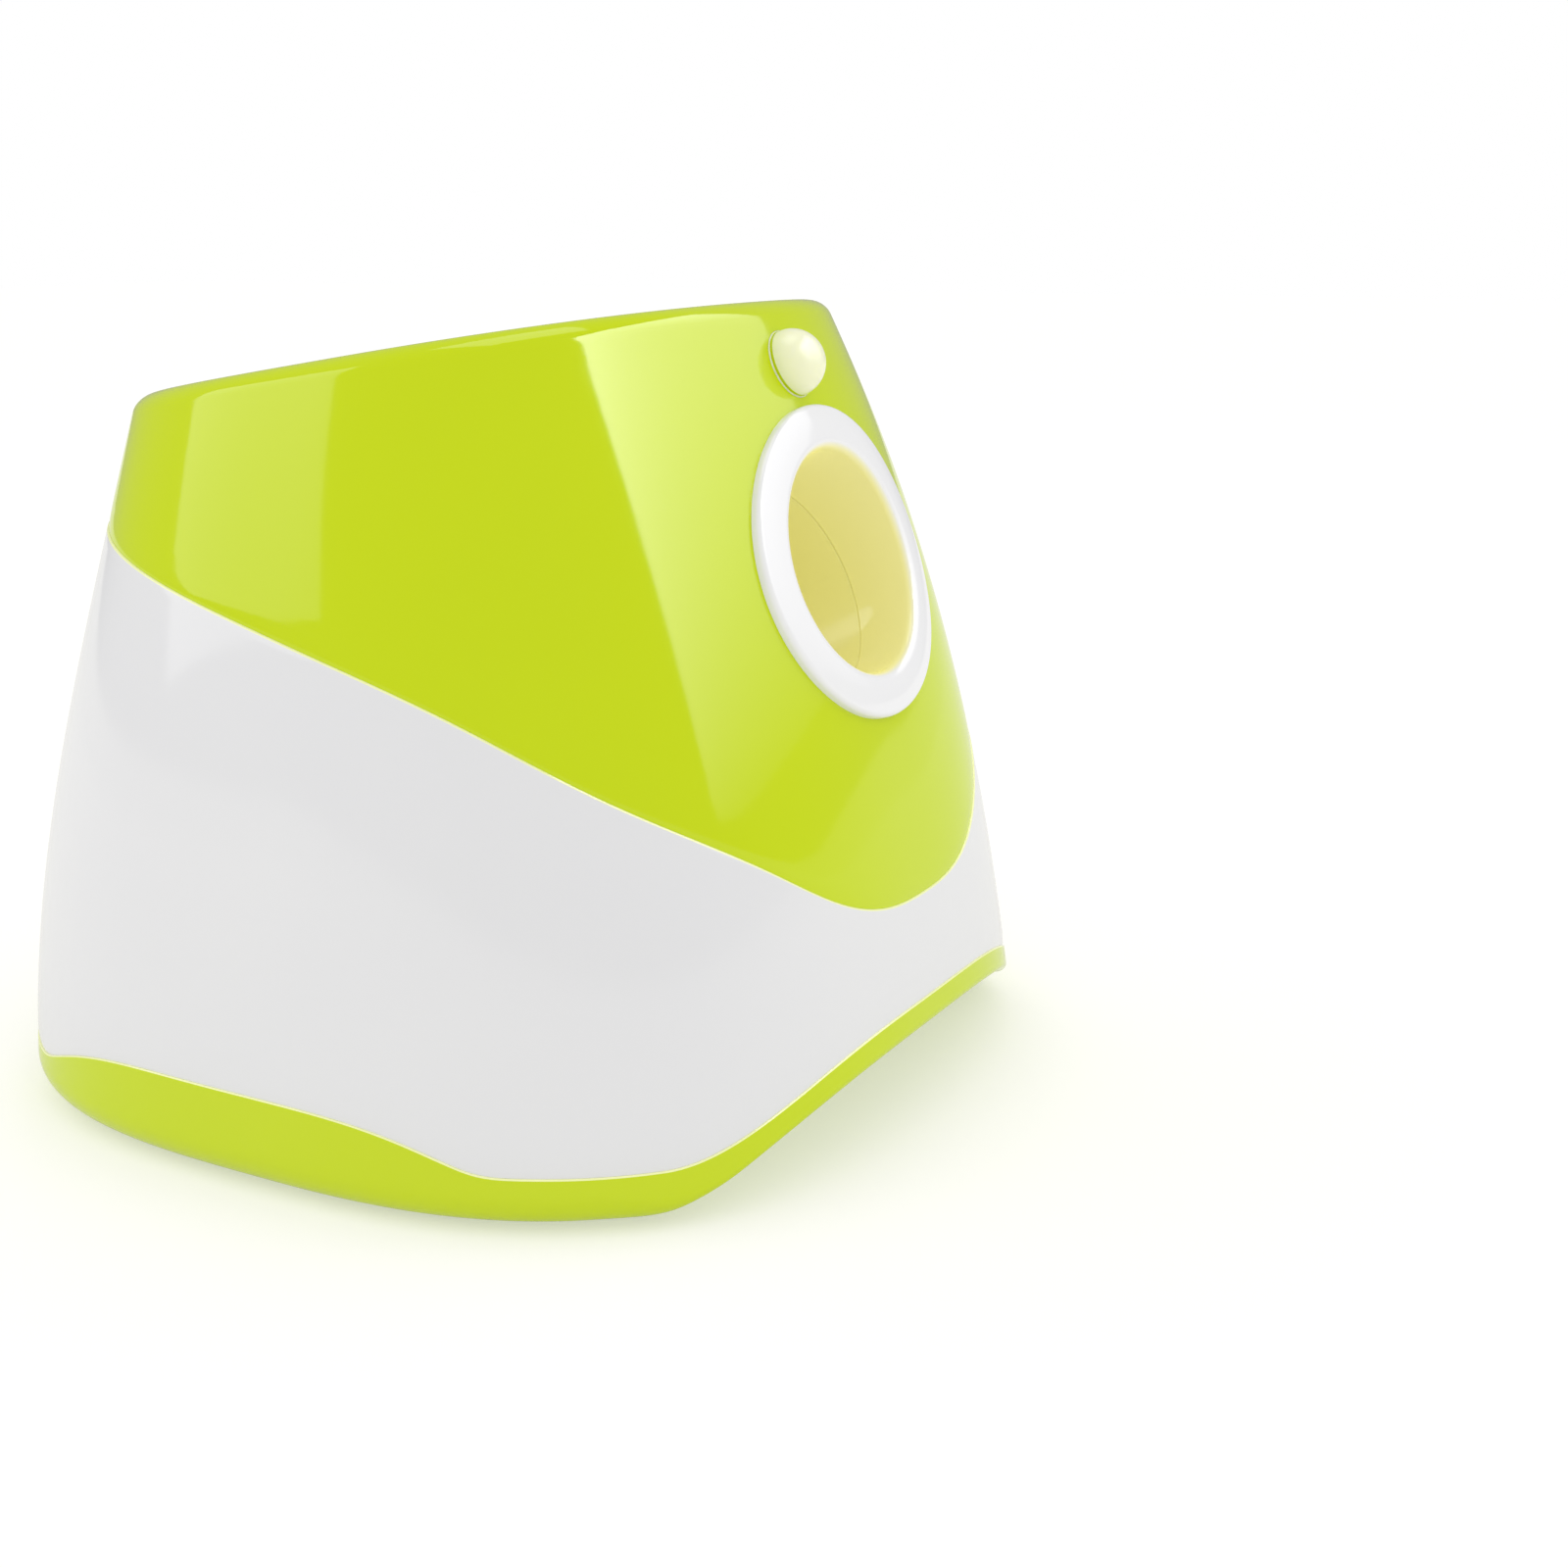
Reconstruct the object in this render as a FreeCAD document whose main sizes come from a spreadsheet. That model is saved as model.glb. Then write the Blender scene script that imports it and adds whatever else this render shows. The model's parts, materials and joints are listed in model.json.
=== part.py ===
import FreeCAD, Part
import math
import os
import re

Vector = FreeCAD.Vector
Rotation = FreeCAD.Rotation
Placement = FreeCAD.Placement
X_AXIS = Vector(1, 0, 0)
Y_AXIS = Vector(0, 1, 0)
Z_AXIS = Vector(0, 0, 1)

# An automatic dog ball launcher: a domed housing in three shells, a funnel in its top,
# a sloping launch barrel with a sprung piston, and the gear train that winds the piston.
# Millimetres and degrees.  +Z is up, the ball leaves towards -Y, and the origin is on the
# floor at the centre of the footprint.

SIZES = [
    # outside of the housing: half width, front depth and back depth at four levels
    ("body_height", 210.0), ("foot_height", 1.5), ("loft_rise", 26.0),
    ("level_low", 16.8), ("level_mid", 84.0), ("level_high", 151.2),
    ("width_low", 134.05), ("width_mid", 124.7), ("width_high", 111.8), ("width_top", 92.2),
    ("front_low", 134.05), ("front_mid", 123.8), ("front_high", 106.4), ("front_top", 84.3),
    ("back_low", 134.05), ("back_mid", 123.8), ("back_high", 104.2), ("back_top", 92.9),
    ("front_power_low", 2.63), ("front_power_top", 2.40),
    ("back_power_low", 3.05), ("back_power_top", 3.20),
    ("bottom_round", 10.0),
    ("shell_wall", 2.6), ("base_wall", 3.0), ("runner_floor", 5.5),
    ("rim_slope", 9.25), ("rim_round", 4.5), ("rim_width", 13.5), ("rim_thick", 6.0),
    # seam between the top shell and the middle shell, as heights along the depth
    ("seam_back", 161.0), ("seam_centre", 142.8), ("seam_shoulder", 127.0),
    ("seam_brow", 106.0), ("seam_cheek", 86.0), ("seam_chin", 62.6),
    # seam between the middle shell and the base, and the arch under the base
    ("base_corner", 15.9), ("base_front_rise", 19.6), ("base_front_half", 100.0),
    ("base_side_rise", 10.6), ("base_side_half", 85.0), ("base_side_centre", 11.5),
    ("base_side_dip", 1.5),
    ("arch_height", 26.5), ("arch_half", 101.0), ("arch_power", 3.2),
    # joining posts and screws
    ("post_radius", 6.0), ("post_rib", 2.5), ("screw_radius", 1.5), ("screw_head", 3.0),
    ("screw_head_height", 2.2), ("screw_clearance", 0.1), ("corner_post_x", 107.0),
    ("corner_post_y", 68.0), ("corner_post_top", 46.0), ("base_screw_length", 30.0),
    ("front_post_x", 98.0), ("front_post_y", 60.0), ("front_post_length", 30.0),
    ("back_post_x", 93.0), ("back_post_y", 50.0), ("shell_screw_length", 24.0),
    ("foot_radius", 7.5), ("foot_sink", 1.2), ("foot_x", 110.0), ("foot_y", 46.0),
    # funnel
    ("funnel_gap", 0.3), ("funnel_wall", 2.4), ("funnel_flange", 2.0), ("throat_height", 168.0),
    ("funnel_screw_length", 5.0), ("funnel_power", 1.3), ("funnel_start", 204.0),
    # launch barrel, given along its own axis from the centre of the mouth
    ("mouth_height", 154.0), ("mouth_forward", 105.0), ("launch_angle", 26.0),
    ("bore_radius", 30.5), ("barrel_wall", 2.5), ("neck_inset", 0.4), ("throat_along", 92.0),
    ("sleeve_end", 20.0), ("barrel_end", 210.0),
    ("ring_tilt", 20.0), ("ring_radius", 43.4), ("ring_bore", 31.0), ("ring_proud", 2.6),
    ("sleeve_wall", 2.6), ("ring_hole", 37.0), ("ear_radius", 4.5), ("ear_circle", 36.0),
    ("front_ear_length", 8.0), ("rear_ear_length", 8.0), ("cap_thick", 4.0),
    ("ring_screw_length", 14.0), ("cap_screw_length", 10.0), ("ring_ear_length", 9.5),
    ("cap_guide_radius", 12.0), ("cap_guide_length", 36.0), ("cap_guide_bore", 4.0),
    # piston and its spring
    ("piston_clearance", 0.4), ("piston_front", 120.0), ("piston_length", 45.0),
    ("piston_face", 6.0), ("piston_bore", 20.0), ("pad_radius", 22.0), ("pad_thick", 3.0),
    ("spring_mean_radius", 15.5), ("spring_wire", 2.4), ("spring_turns", 9.0),
    ("rack_depth", 9.0), ("rack_half_height", 4.0), ("slot_clearance", 1.0),
    # gears: one module for the whole train, layers given along the shafts
    ("gear_module", 1.0), ("pressure_angle", 25.0), ("addendum", 0.8), ("dedendum", 1.05),
    ("backlash", 0.08), ("sector_teeth", 48.0), ("sector_kept", 13.0),
    ("first_wheel_teeth", 44.0), ("pinion_teeth", 12.0), ("second_wheel_teeth", 40.0),
    ("third_wheel_teeth", 34.0), ("motor_pinion_teeth", 10.0), ("sector_along", 161.0),
    ("layer_sector", -4.0), ("layer_wheel", 5.0), ("layer_upper", 12.0),
    ("wheel_thick", 6.0), ("upper_thick", 5.0), ("hub_radius", 4.0), ("slim_hub", 2.8),
    ("hub_end_gap", 0.3), ("sector_hub", 6.0), ("sector_shaft_radius", 3.0),
    ("gear_shaft_radius", 2.0), ("running_clearance", 0.05), ("motor_turn", 57.0),
    ("motor_radius", 12.1), ("motor_length", 30.8), ("motor_shaft_radius", 1.0),
    ("motor_boss_radius", 4.0), ("motor_boss_height", 1.5), ("motor_screw_circle", 8.0),
    # gearbox frame
    ("plate_thick", 3.0), ("plate_low", -10.0), ("plate_gap", 26.0), ("plate_inner", 38.5),
    ("plate_outer", 97.0), ("plate_front", 78.0), ("plate_back", 196.0),
    ("pillar_radius", 3.5), ("pillar_inset", 5.5), ("plate_screw_length", 9.0),
    ("lug_thick", 4.0), ("lug_width", 14.0),
    # ball-detecting lever and its switch
    ("lever_pivot_across", 38.5), ("lever_pivot_along", 76.0), ("lever_hub", 2.6),
    ("lever_arm", 20.0), ("lever_thick", 3.0), ("lever_height", 6.0), ("lever_reach", 24.5),
    ("lever_nose", 4.0), ("lever_pin_radius", 1.0), ("switch_length", 20.0),
    ("switch_depth", 10.0), ("switch_height", 6.4), ("lever_travel_room", 6.6),
    ("shelf_thick", 3.0), ("shelf_drop", 3.5), ("shelf_length", 34.0),
    # sensor behind the front lens
    ("lens_height", 206.0), ("lens_radius", 9.1), ("lens_collar", 1.0), ("lens_dome", 8.9),
    ("lens_seat", 0.8), ("lens_flange", 1.6), ("lens_lip", 1.8), ("lens_clearance", 0.25),
    ("lens_seat_clearance", 0.3), ("holder_depth", 4.0), ("holder_inset", 0.6),
    ("sensor_radius", 4.6), ("sensor_length", 3.8), ("sensor_board_width", 26.0),
    ("sensor_board_height", 22.0), ("board_thick", 1.6), ("sensor_room_side", 0.5),
    ("sensor_room_back", 1.2),
    # control panel in the back
    ("button_height", 128.0), ("button_radius", 9.0), ("button_proud", 2.0),
    ("button_gap", 0.3), ("button_flange", 2.2), ("button_travel", 1.0), ("button_stem", 2.0),
    ("control_depth", 10.4), ("control_width", 66.0), ("control_height", 34.0),
    ("control_post_x", 28.0), ("control_post_y", 12.0), ("control_post_radius", 3.2),
    ("control_screw_length", 7.0), ("switch_body", 6.2), ("light_offset", 18.0),
    ("light_radius", 2.4), ("buzzer_radius", 6.0), ("buzzer_length", 6.5),
    # power inlet
    ("inlet_height", 48.0), ("inlet_azimuth", 118.0), ("inlet_bezel", 7.0),
    ("inlet_bezel_thick", 1.4), ("inlet_neck", 4.6), ("inlet_hole", 2.9), ("inlet_depth", 10.0),
    ("inlet_pin", 1.05), ("inlet_body", 12.0),
    # battery compartment: six C cells in two rows of three
    ("cell_radius", 13.1), ("cell_length", 50.0), ("cell_gap", 0.6), ("battery_wall", 1.8),
    ("battery_back", 12.0), ("contact_thick", 0.6), ("contact_size", 12.0),
    ("door_gap", 0.3), ("door_lap", 8.5), ("door_screw_length", 9.0), ("door_boss", 5.0),
    # cradle between the base and the barrel
    ("cradle_half", 24.0), ("cradle_start", 2.0), ("cradle_length", 16.0),
    ("cradle_screw_x", 17.0), ("cradle_screw_length", 14.0),
]

QUARTER_STEPS = 6
LOFT_STEPS = 6

doc = FreeCAD.newDocument("BallLauncher")
sheet = doc.addObject("Spreadsheet::Sheet", "Sizes")
for row, (alias, value) in enumerate(SIZES, start=1):
    sheet.set(f"A{row}", alias)
    sheet.set(f"B{row}", str(value))
    sheet.setAlias(f"B{row}", alias)
doc.recompute()

ALIASES = {alias for alias, _ in SIZES}
PARTS = []


def size(alias):
    """The number in the sheet's cell of that name."""
    return float(sheet.get(alias))


def tie(text):
    """Turn an expression in plain size names into one that reads the sheet."""
    return re.sub(r"[a-z_]+", lambda m: f"Sizes.{m[0]}" if m[0] in ALIASES else m[0], text)


def put(item, at, turn=None):
    """Bind an object's place to the sheet, with an optional turn (axis, degrees)."""
    if turn:
        item.Placement = Placement(Vector(), Rotation(*turn))
    for axis, text in zip("xyz", at):
        item.setExpression(f"Placement.Base.{axis}", tie(text))
    return item


def rod(name, radius, length, at=("0", "0", "0"), turn=None):
    item = doc.addObject("Part::Cylinder", name)
    item.setExpression("Radius", tie(radius))
    item.setExpression("Height", tie(length))
    return put(item, at, turn)


def block(name, sizes, at, turn=None):
    item = doc.addObject("Part::Box", name)
    for prop, text in zip(("Length", "Width", "Height"), sizes):
        item.setExpression(prop, tie(text))
    return put(item, at, turn)


def fuse(name, *items):
    item = doc.addObject("Part::MultiFuse", name)
    item.Shapes = list(items)
    return item


def common(name, base, tool):
    item = doc.addObject("Part::Common", name)
    item.Base = base
    item.Tool = tool
    return item


def cut(name, base, *tools):
    """Cut the tools out one after another; the last cut carries the name."""
    for number, tool in enumerate(tools, start=1):
        label = name if number == len(tools) else f"{name}_step"
        item = doc.addObject("Part::Cut", label)
        item.Base = base
        item.Tool = tool
        base = item
    return base


def group(name, items):
    item = doc.addObject("Part::Compound", name)
    item.Links = list(items)
    return item


def feature(name, shape, placement=None):
    item = doc.addObject("Part::Feature", name)
    item.Shape = shape
    if placement:
        item.Placement = placement.multiply(shape.Placement)
    return item


def part(name, item, placement=None):
    """Register an object as a sub-part: its label names its file."""
    item.Label = name
    if placement:
        item.Placement = placement.multiply(item.Placement)
    PARTS.append(item)
    return item


def moved(item, placement):
    """Place a finished boolean as a whole."""
    item.Placement = placement
    return item


def carried(name, item, placement):
    """Wrap an object whose own place is bound to the sheet, and place the wrapping."""
    return moved(group(name, [item]), placement)


# ---------------------------------------------------------------- shape of the housing

def level_value(prefix, z):
    """Smooth cubic through the four levels' half widths or depths."""
    levels = [size("level_low"), size("level_mid"), size("level_high"), size("body_height")]
    values = [size(f"{prefix}_{step}") for step in ("low", "mid", "high", "top")]
    total = 0.0
    for i, value in enumerate(values):
        term = value
        for j, level in enumerate(levels):
            if j != i:
                term *= (z - level) / (levels[i] - level)
        total += term
    return total


def body_radius(azimuth, z, inset=0.0):
    """Distance from the Z axis to the skin, for an azimuth in degrees (90 is the back)."""
    side = "back" if math.sin(math.radians(azimuth)) >= 0 else "front"
    low, top = size(f"{side}_power_low"), size(f"{side}_power_top")
    power = low + (top - low) * min(max(z / size("body_height"), 0.0), 1.0)
    across = abs(math.cos(math.radians(azimuth))) / (level_value("width", z) - inset)
    along = abs(math.sin(math.radians(azimuth))) / (level_value(side, z) - inset)
    return (across ** power + along ** power) ** (-1.0 / power)


def ring_wire(z, radius_at, centre_y=0.0):
    """Closed level curve in four quarters, square to the X and Y axes where they meet."""
    quarters = []
    for quarter in range(4):
        points = []
        for step in range(QUARTER_STEPS + 1):
            angle = math.radians(90.0 * (quarter + step / QUARTER_STEPS))
            reach = radius_at(math.degrees(angle))
            points.append(Vector(reach * math.cos(angle), centre_y + reach * math.sin(angle), z))
        start = math.radians(90.0 * quarter + 90.0)
        leaving = Vector(round(math.cos(start)), round(math.sin(start)), 0)
        arriving = Vector(-leaving.y, leaving.x, 0)
        curve = Part.BSplineCurve()
        curve.interpolate(Points=points, InitialTangent=leaving, FinalTangent=arriving)
        quarters.append(curve.toShape())
    return Part.Wire(quarters)


def body_wire(z, inset):
    return ring_wire(z, lambda azimuth: body_radius(azimuth, z, inset))


def loft(name, wires):
    """Solid loft through closed curves, kept as an object of the document."""
    item = doc.addObject("Part::Loft", name)
    item.Sections = [feature(f"{name}_{i}", wire) for i, wire in enumerate(wires)]
    item.Solid = True
    item.Ruled = False
    return item


def even_levels(start):
    """Evenly spaced heights from start to above the rim, so that a loft doesn't ripple."""
    rise = size("body_height") + size("loft_rise") - start
    return [start + rise * step / LOFT_STEPS for step in range(LOFT_STEPS + 1)]


def body_loft(name, inset, start=None):
    """The housing's volume drawn in by inset, from height start upwards."""
    start = size("foot_height") if start is None else start
    return loft(name, [body_wire(z, inset) for z in even_levels(start)])


def edge_round(name, base, radius, highest):
    """Round the edges of an object's highest or lowest flat face."""
    doc.recompute()
    pick = max if highest else min
    face = pick(base.Shape.Faces, key=lambda face: face.CenterOfMass.z)
    item = doc.addObject("Part::Fillet", name)
    item.Base = base
    item.Edges = [(number, radius, radius)
                  for number, edge in enumerate(base.Shape.Edges, start=1)
                  if any(edge.isSame(other) for other in face.Edges)]
    return item


def skin_frame(azimuth, z, depth=0.0):
    """Placement on the skin with its own +Z along the outward normal."""
    def point(turn, height):
        reach = body_radius(turn, height)
        angle = math.radians(turn)
        return Vector(reach * math.cos(angle), reach * math.sin(angle), height)
    step = 0.5
    sideways = point(azimuth + step, z) - point(azimuth - step, z)
    upwards = point(azimuth, z + step) - point(azimuth, z - step)
    normal = sideways.cross(upwards).normalize()
    level = Z_AXIS.cross(normal).normalize()
    turn = Rotation(level, normal.cross(level), normal, "ZXY")
    return Placement(point(azimuth, z) - normal * depth, turn)


BIG = 400.0


def above_rim(name, drop):
    """Everything above the sloping rim plane, lowered by drop."""
    angle = -size("rim_slope")
    placement = Placement(Vector(0, 0, size("body_height") - drop), Rotation(X_AXIS, angle))
    placement = placement.multiply(Placement(Vector(-BIG / 2, -BIG / 2, 0), Rotation()))
    return feature(name, Part.makeBox(BIG, BIG, BIG / 2), placement)


def curtain(name, points, floor, across_x):
    """Solid below a curve z(y) run along X, or below z(x) run along Y."""
    flat = [Vector(0, a, z) if across_x else Vector(a, 0, z) for a, z in points]
    curve = Part.BSplineCurve()
    curve.interpolate(Points=flat)
    first, last = flat[0], flat[-1]
    low_first = Vector(first.x, first.y, floor)
    low_last = Vector(last.x, last.y, floor)
    sides = [Part.makeLine(last, low_last), Part.makeLine(low_last, low_first)]
    wire = Part.Wire([curve.toShape()] + sides + [Part.makeLine(low_first, first)])
    run = X_AXIS if across_x else Y_AXIS
    solid = Part.Face(wire).extrude(run * BIG)
    solid.translate(run * (-BIG / 2))
    return feature(name, solid)


def bump_points(reach, half, centre, base, rise, power, fall):
    """Points of a flat-topped hump: base + rise * (1 - |t|^power)^fall."""
    points = []
    count = 24
    for step in range(count + 1):
        place = -reach + 2.0 * reach * step / count
        share = min(abs(place - centre) / half, 1.0)
        points.append((place, base + rise * (1.0 - share ** power) ** fall))
    return points


def build_shells(arch_under, arch_over, control_posts):
    """The hollow housing, its outer volume and the two regions that the seams mark off."""
    outer_raw = body_loft("outer_raw", 0.0)
    outer_cut = cut("outer_cut", outer_raw, above_rim("rim_cutter", 0.0))
    outer_rim = edge_round("outer_rim", outer_cut, size("rim_round"), True)
    outer = edge_round("outer", outer_rim, size("bottom_round"), False)
    inner = body_loft("inner", size("shell_wall"), size("foot_height") + size("runner_floor"))
    corner_posts, shell_posts = build_posts("corner"), build_posts("shell")
    base_cavity = cut("base_cavity", inner, arch_over, *corner_posts)
    cavity = cut("cavity", base_cavity, above_rim("deck_cutter", size("rim_thick")),
                 *shell_posts, control_posts)
    opening = body_loft("rim_opening", size("rim_width"), size("seam_back"))
    arched = cut("arched_outer", outer, arch_under)
    front = size("front_low")
    back = size("back_low")
    seam = [
        (1.15 * back, size("seam_back") + 0.28 * (1.15 * back - 72.0)),
        (0.54 * back, size("seam_back")),
        (0.0, size("seam_centre")),
        (-0.38 * front, size("seam_shoulder")),
        (-0.66 * front, size("seam_brow")),
        (-0.845 * front, size("seam_cheek")),
        (-0.955 * front, size("seam_chin")),
        (-1.10 * front, size("seam_chin") - 38.0),
    ]
    low_front = bump_points(1.2 * size("width_low"), size("base_front_half"), 0.0,
                            size("base_corner"), size("base_front_rise"), 3.0, 1.72)
    # the side hump starts a little lower, so that the two humps cross instead of touching
    dip = size("base_side_dip")
    low_side = bump_points(1.2 * front, size("base_side_half"), size("base_side_centre"),
                           size("base_corner") - dip, size("base_side_rise") + dip, 4.0, 1.7)
    below_top = curtain("below_top", seam, -10.0, True)
    below_mid = fuse("below_mid", curtain("below_front", low_front, -10.0, False),
                     curtain("below_side", low_side, -10.0, True))
    base = cut("base_shell", common("base_block", arched, below_mid), base_cavity)
    above_base = cut("above_base", cut("open_outer", outer, opening), below_mid)
    middle = cut("middle_hollow", common("middle_block", above_base, below_top), cavity)
    top = cut("top_hollow", cut("top_block", above_base, below_top), cavity)
    return outer, base, middle, top


def post_places(kind):
    """Centres, start heights and lengths of the joining posts of one kind."""
    if kind == "corner":
        start = size("foot_height")
        length = size("corner_post_top") - start
        x, y = size("corner_post_x"), size("corner_post_y")
        return [(sx * x, sy * y, start, length) for sx in (-1, 1) for sy in (-1, 1)]
    length = size("front_post_length")
    front = (size("seam_shoulder") + size("seam_brow")) / 2 + 4.0
    back = size("seam_centre") + 12.5
    places = []
    for sx in (-1, 1):
        places.append((sx * size("front_post_x"), -size("front_post_y"), front - length / 2, length))
        places.append((sx * size("back_post_x"), size("back_post_y"), back - length / 2, length))
    return places


def build_posts(kind):
    """Round posts with a rib out to the wall; the seams split them with the shells."""
    items = []
    for x, y, start, length in post_places(kind):
        post = Part.makeCylinder(size("post_radius"), length, Vector(x, y, start))
        thick = size("post_rib")
        reach = 6.0 * size("post_radius")
        corner = Vector(min(x, x + math.copysign(reach, x)), y - thick / 2, start)
        rib = Part.makeBox(reach, thick, length, corner)
        items.append(feature(f"{kind}_post", post.fuse(rib)))
    return items


def screw_shape(length, extra=0.0):
    """Screw along +Z: head below the origin plane, shank above it."""
    head = Part.makeCylinder(size("screw_head") + 2 * extra, size("screw_head_height") + extra)
    head.translate(Vector(0, 0, -size("screw_head_height") - extra))
    shank = Part.makeCylinder(size("screw_radius") + extra, length + extra)
    return head.fuse(shank).removeSplitter()


def screws(name, placements, length):
    """A group of like screws, and the matching holes to cut from what they hold."""
    solids = []
    holes = []
    for place in placements:
        solids.append(feature(name + "_one", screw_shape(length), place))
        holes.append(feature(name + "_hole", screw_shape(length, size("screw_clearance")), place))
    part(name, group(name, solids))
    return fuse(name + "_holes", *holes)


def upright(x, y, z):
    return Placement(Vector(x, y, z), Rotation())


# ---------------------------------------------------------------- frames

def launch_frame():
    """Frame of the barrel: X across, Y back along the bore, Z out of its top."""
    mouth = Vector(0, -size("mouth_forward"), size("mouth_height"))
    return Placement(mouth, Rotation(X_AXIS, -size("launch_angle")))


def along(x, y, z, axis=X_AXIS, angle=0.0):
    """A place in the barrel's frame, as one in the launcher's."""
    return launch_frame().multiply(Placement(Vector(x, y, z), Rotation(axis, angle)))


LENGTHWISE = (X_AXIS, -90.0)     # turns a rod's own +Z to +Y, back along the bore


def bore_rod(name, radius, start, length):
    """Rod on the bore's axis in the barrel's frame."""
    return rod(name, radius, length, ("0", start, "0"), LENGTHWISE)


# ---------------------------------------------------------------- gears

def gear_wire(teeth, phase):
    """Involute outline with straight tips and roots; phase is the first tooth's angle."""
    module = size("gear_module")
    pitch = module * teeth / 2.0
    pressure = math.radians(size("pressure_angle"))
    base = pitch * math.cos(pressure)
    tip = pitch + size("addendum") * module
    root = pitch - size("dedendum") * module
    half = math.pi / (2 * teeth) + math.tan(pressure) - pressure - size("backlash") / pitch

    def flank_angle(radius):
        if radius <= base:
            return half
        rolled = math.acos(base / radius)
        return half - (math.tan(rolled) - rolled)

    radii = [root, max(root + 0.25 * module, base), pitch, tip]

    def point(radius, angle):
        return Vector(radius * math.cos(angle), radius * math.sin(angle), 0)

    edges = []
    last = None
    for number in range(teeth):
        middle = math.radians(phase) + 2 * math.pi * number / teeth
        rise = [point(radius, middle - flank_angle(radius)) for radius in radii]
        fall = [point(radius, middle + flank_angle(radius)) for radius in reversed(radii)]
        if last is None:
            first = rise[0]
        else:
            edges.append(Part.makeLine(last, rise[0]))
        for flank in (rise, fall):
            curve = Part.BSplineCurve()
            curve.interpolate(Points=flank)
            edges.append(curve.toShape())
            if flank is rise:
                edges.append(Part.makeLine(rise[-1], fall[0]))
        last = fall[-1]
    edges.append(Part.makeLine(last, first))
    return Part.Wire(edges)


def gear_solid(teeth, phase, low, thick):
    solid = Part.Face(gear_wire(int(teeth), phase)).extrude(Z_AXIS * thick)
    solid.translate(Z_AXIS * low)
    return solid


def disc(radius, low, high):
    return Part.makeCylinder(radius, high - low, Vector(0, 0, low))


def pitch_radius(name):
    return size("gear_module") * size(name) / 2.0


def rack_line():
    """Distance of the rack's pitch line from the bore's axis."""
    return size("bore_radius") + size("barrel_wall") + size("rack_depth") / 2


def gear_centres():
    """Shaft places (across, along) of the sector, the two idlers and the motor."""
    sector = Vector(rack_line() + pitch_radius("sector_teeth"), size("sector_along"), 0)
    step = pitch_radius("first_wheel_teeth") + pitch_radius("pinion_teeth")
    second = sector - Y_AXIS * step
    third = second - Y_AXIS * (pitch_radius("second_wheel_teeth") + pitch_radius("pinion_teeth"))
    reach = pitch_radius("third_wheel_teeth") + pitch_radius("motor_pinion_teeth")
    angle = math.radians(-size("motor_turn"))
    motor = third + Vector(reach * math.cos(angle), reach * math.sin(angle), 0)
    return sector, second, third, motor


def plate_levels():
    """Inner faces of the lower and upper gearbox plates."""
    low = size("plate_low") + size("plate_thick")
    return low, low + size("plate_gap")


def build_gears():
    sector, second, third, motor = gear_centres()
    low, high = plate_levels()
    gap = size("hub_end_gap")
    wheel, upper = size("layer_wheel"), size("layer_upper")
    thick, upper_thick = size("wheel_thick"), size("upper_thick")
    clear = size("running_clearance")
    toward_rack, toward_front, toward_back = 180.0, 270.0, 90.0
    half_pitch = 180.0 / size("pinion_teeth")

    # sector: a few teeth at the rack, a full wheel above them
    step = 360.0 / size("sector_teeth")
    full = gear_solid(size("sector_teeth"), toward_rack, size("layer_sector"),
                      -2 * size("layer_sector"))
    reach = pitch_radius("sector_teeth") + 2 * size("gear_module")
    wedge = Part.makeCylinder(reach, -2 * size("layer_sector"),
                              Vector(0, 0, size("layer_sector")), Z_AXIS,
                              step * size("sector_kept"))
    wedge.rotate(Vector(), Z_AXIS, toward_rack - step / 2)
    hollow_radius = pitch_radius("sector_teeth") - 2.5 * size("gear_module")
    web = disc(hollow_radius, size("layer_sector"), wheel)
    toothed = gear_solid(size("first_wheel_teeth"), toward_front, wheel, thick)
    hub = disc(size("sector_hub"), low + gap, high - gap)
    solid = full.common(wedge).fuse([web, toothed, hub])
    solid = solid.cut(disc(size("sector_shaft_radius") + clear, low - 1, high + 1))
    part("sector_gear", feature("sector_gear", solid.removeSplitter()),
         along(sector.x, sector.y, 0))

    # second gear: pinion under the first wheel, big wheel in the upper layer
    pinion = gear_solid(size("pinion_teeth"), toward_back + half_pitch, wheel, thick + 1)
    big = gear_solid(size("second_wheel_teeth"), toward_front, upper, upper_thick)
    slim = disc(size("slim_hub"), low + gap, wheel)
    hub = disc(size("hub_radius"), upper, high - gap)
    bore = disc(size("gear_shaft_radius") + clear, low - 1, high + 1)
    solid = pinion.fuse([big, slim, hub]).cut(bore)
    part("second_gear", feature("second_gear", solid.removeSplitter()),
         along(second.x, second.y, 0))

    # third gear: pinion in the upper layer, big wheel beside the second pinion
    pinion = gear_solid(size("pinion_teeth"), toward_back + half_pitch, upper - 1, upper_thick + 1)
    big = gear_solid(size("third_wheel_teeth"), -size("motor_turn"), wheel, thick)
    hub = disc(size("hub_radius"), low + gap, high - gap)
    solid = pinion.fuse([big, hub]).cut(bore)
    part("third_gear", feature("third_gear", solid.removeSplitter()),
         along(third.x, third.y, 0))

    # motor pinion on the motor's own shaft
    phase = 180.0 - size("motor_turn") + 180.0 / size("motor_pinion_teeth")
    solid = gear_solid(size("motor_pinion_teeth"), phase, wheel, thick)
    solid = solid.cut(disc(size("motor_shaft_radius"), wheel - 1, wheel + thick + 1))
    part("motor_pinion", feature("motor_pinion", solid), along(motor.x, motor.y, 0))
    shaft = disc(size("motor_shaft_radius"), size("plate_low") - size("motor_length") / 2,
                 wheel + thick)
    part("motor_shaft", feature("motor_shaft", shaft), along(motor.x, motor.y, 0))


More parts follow.
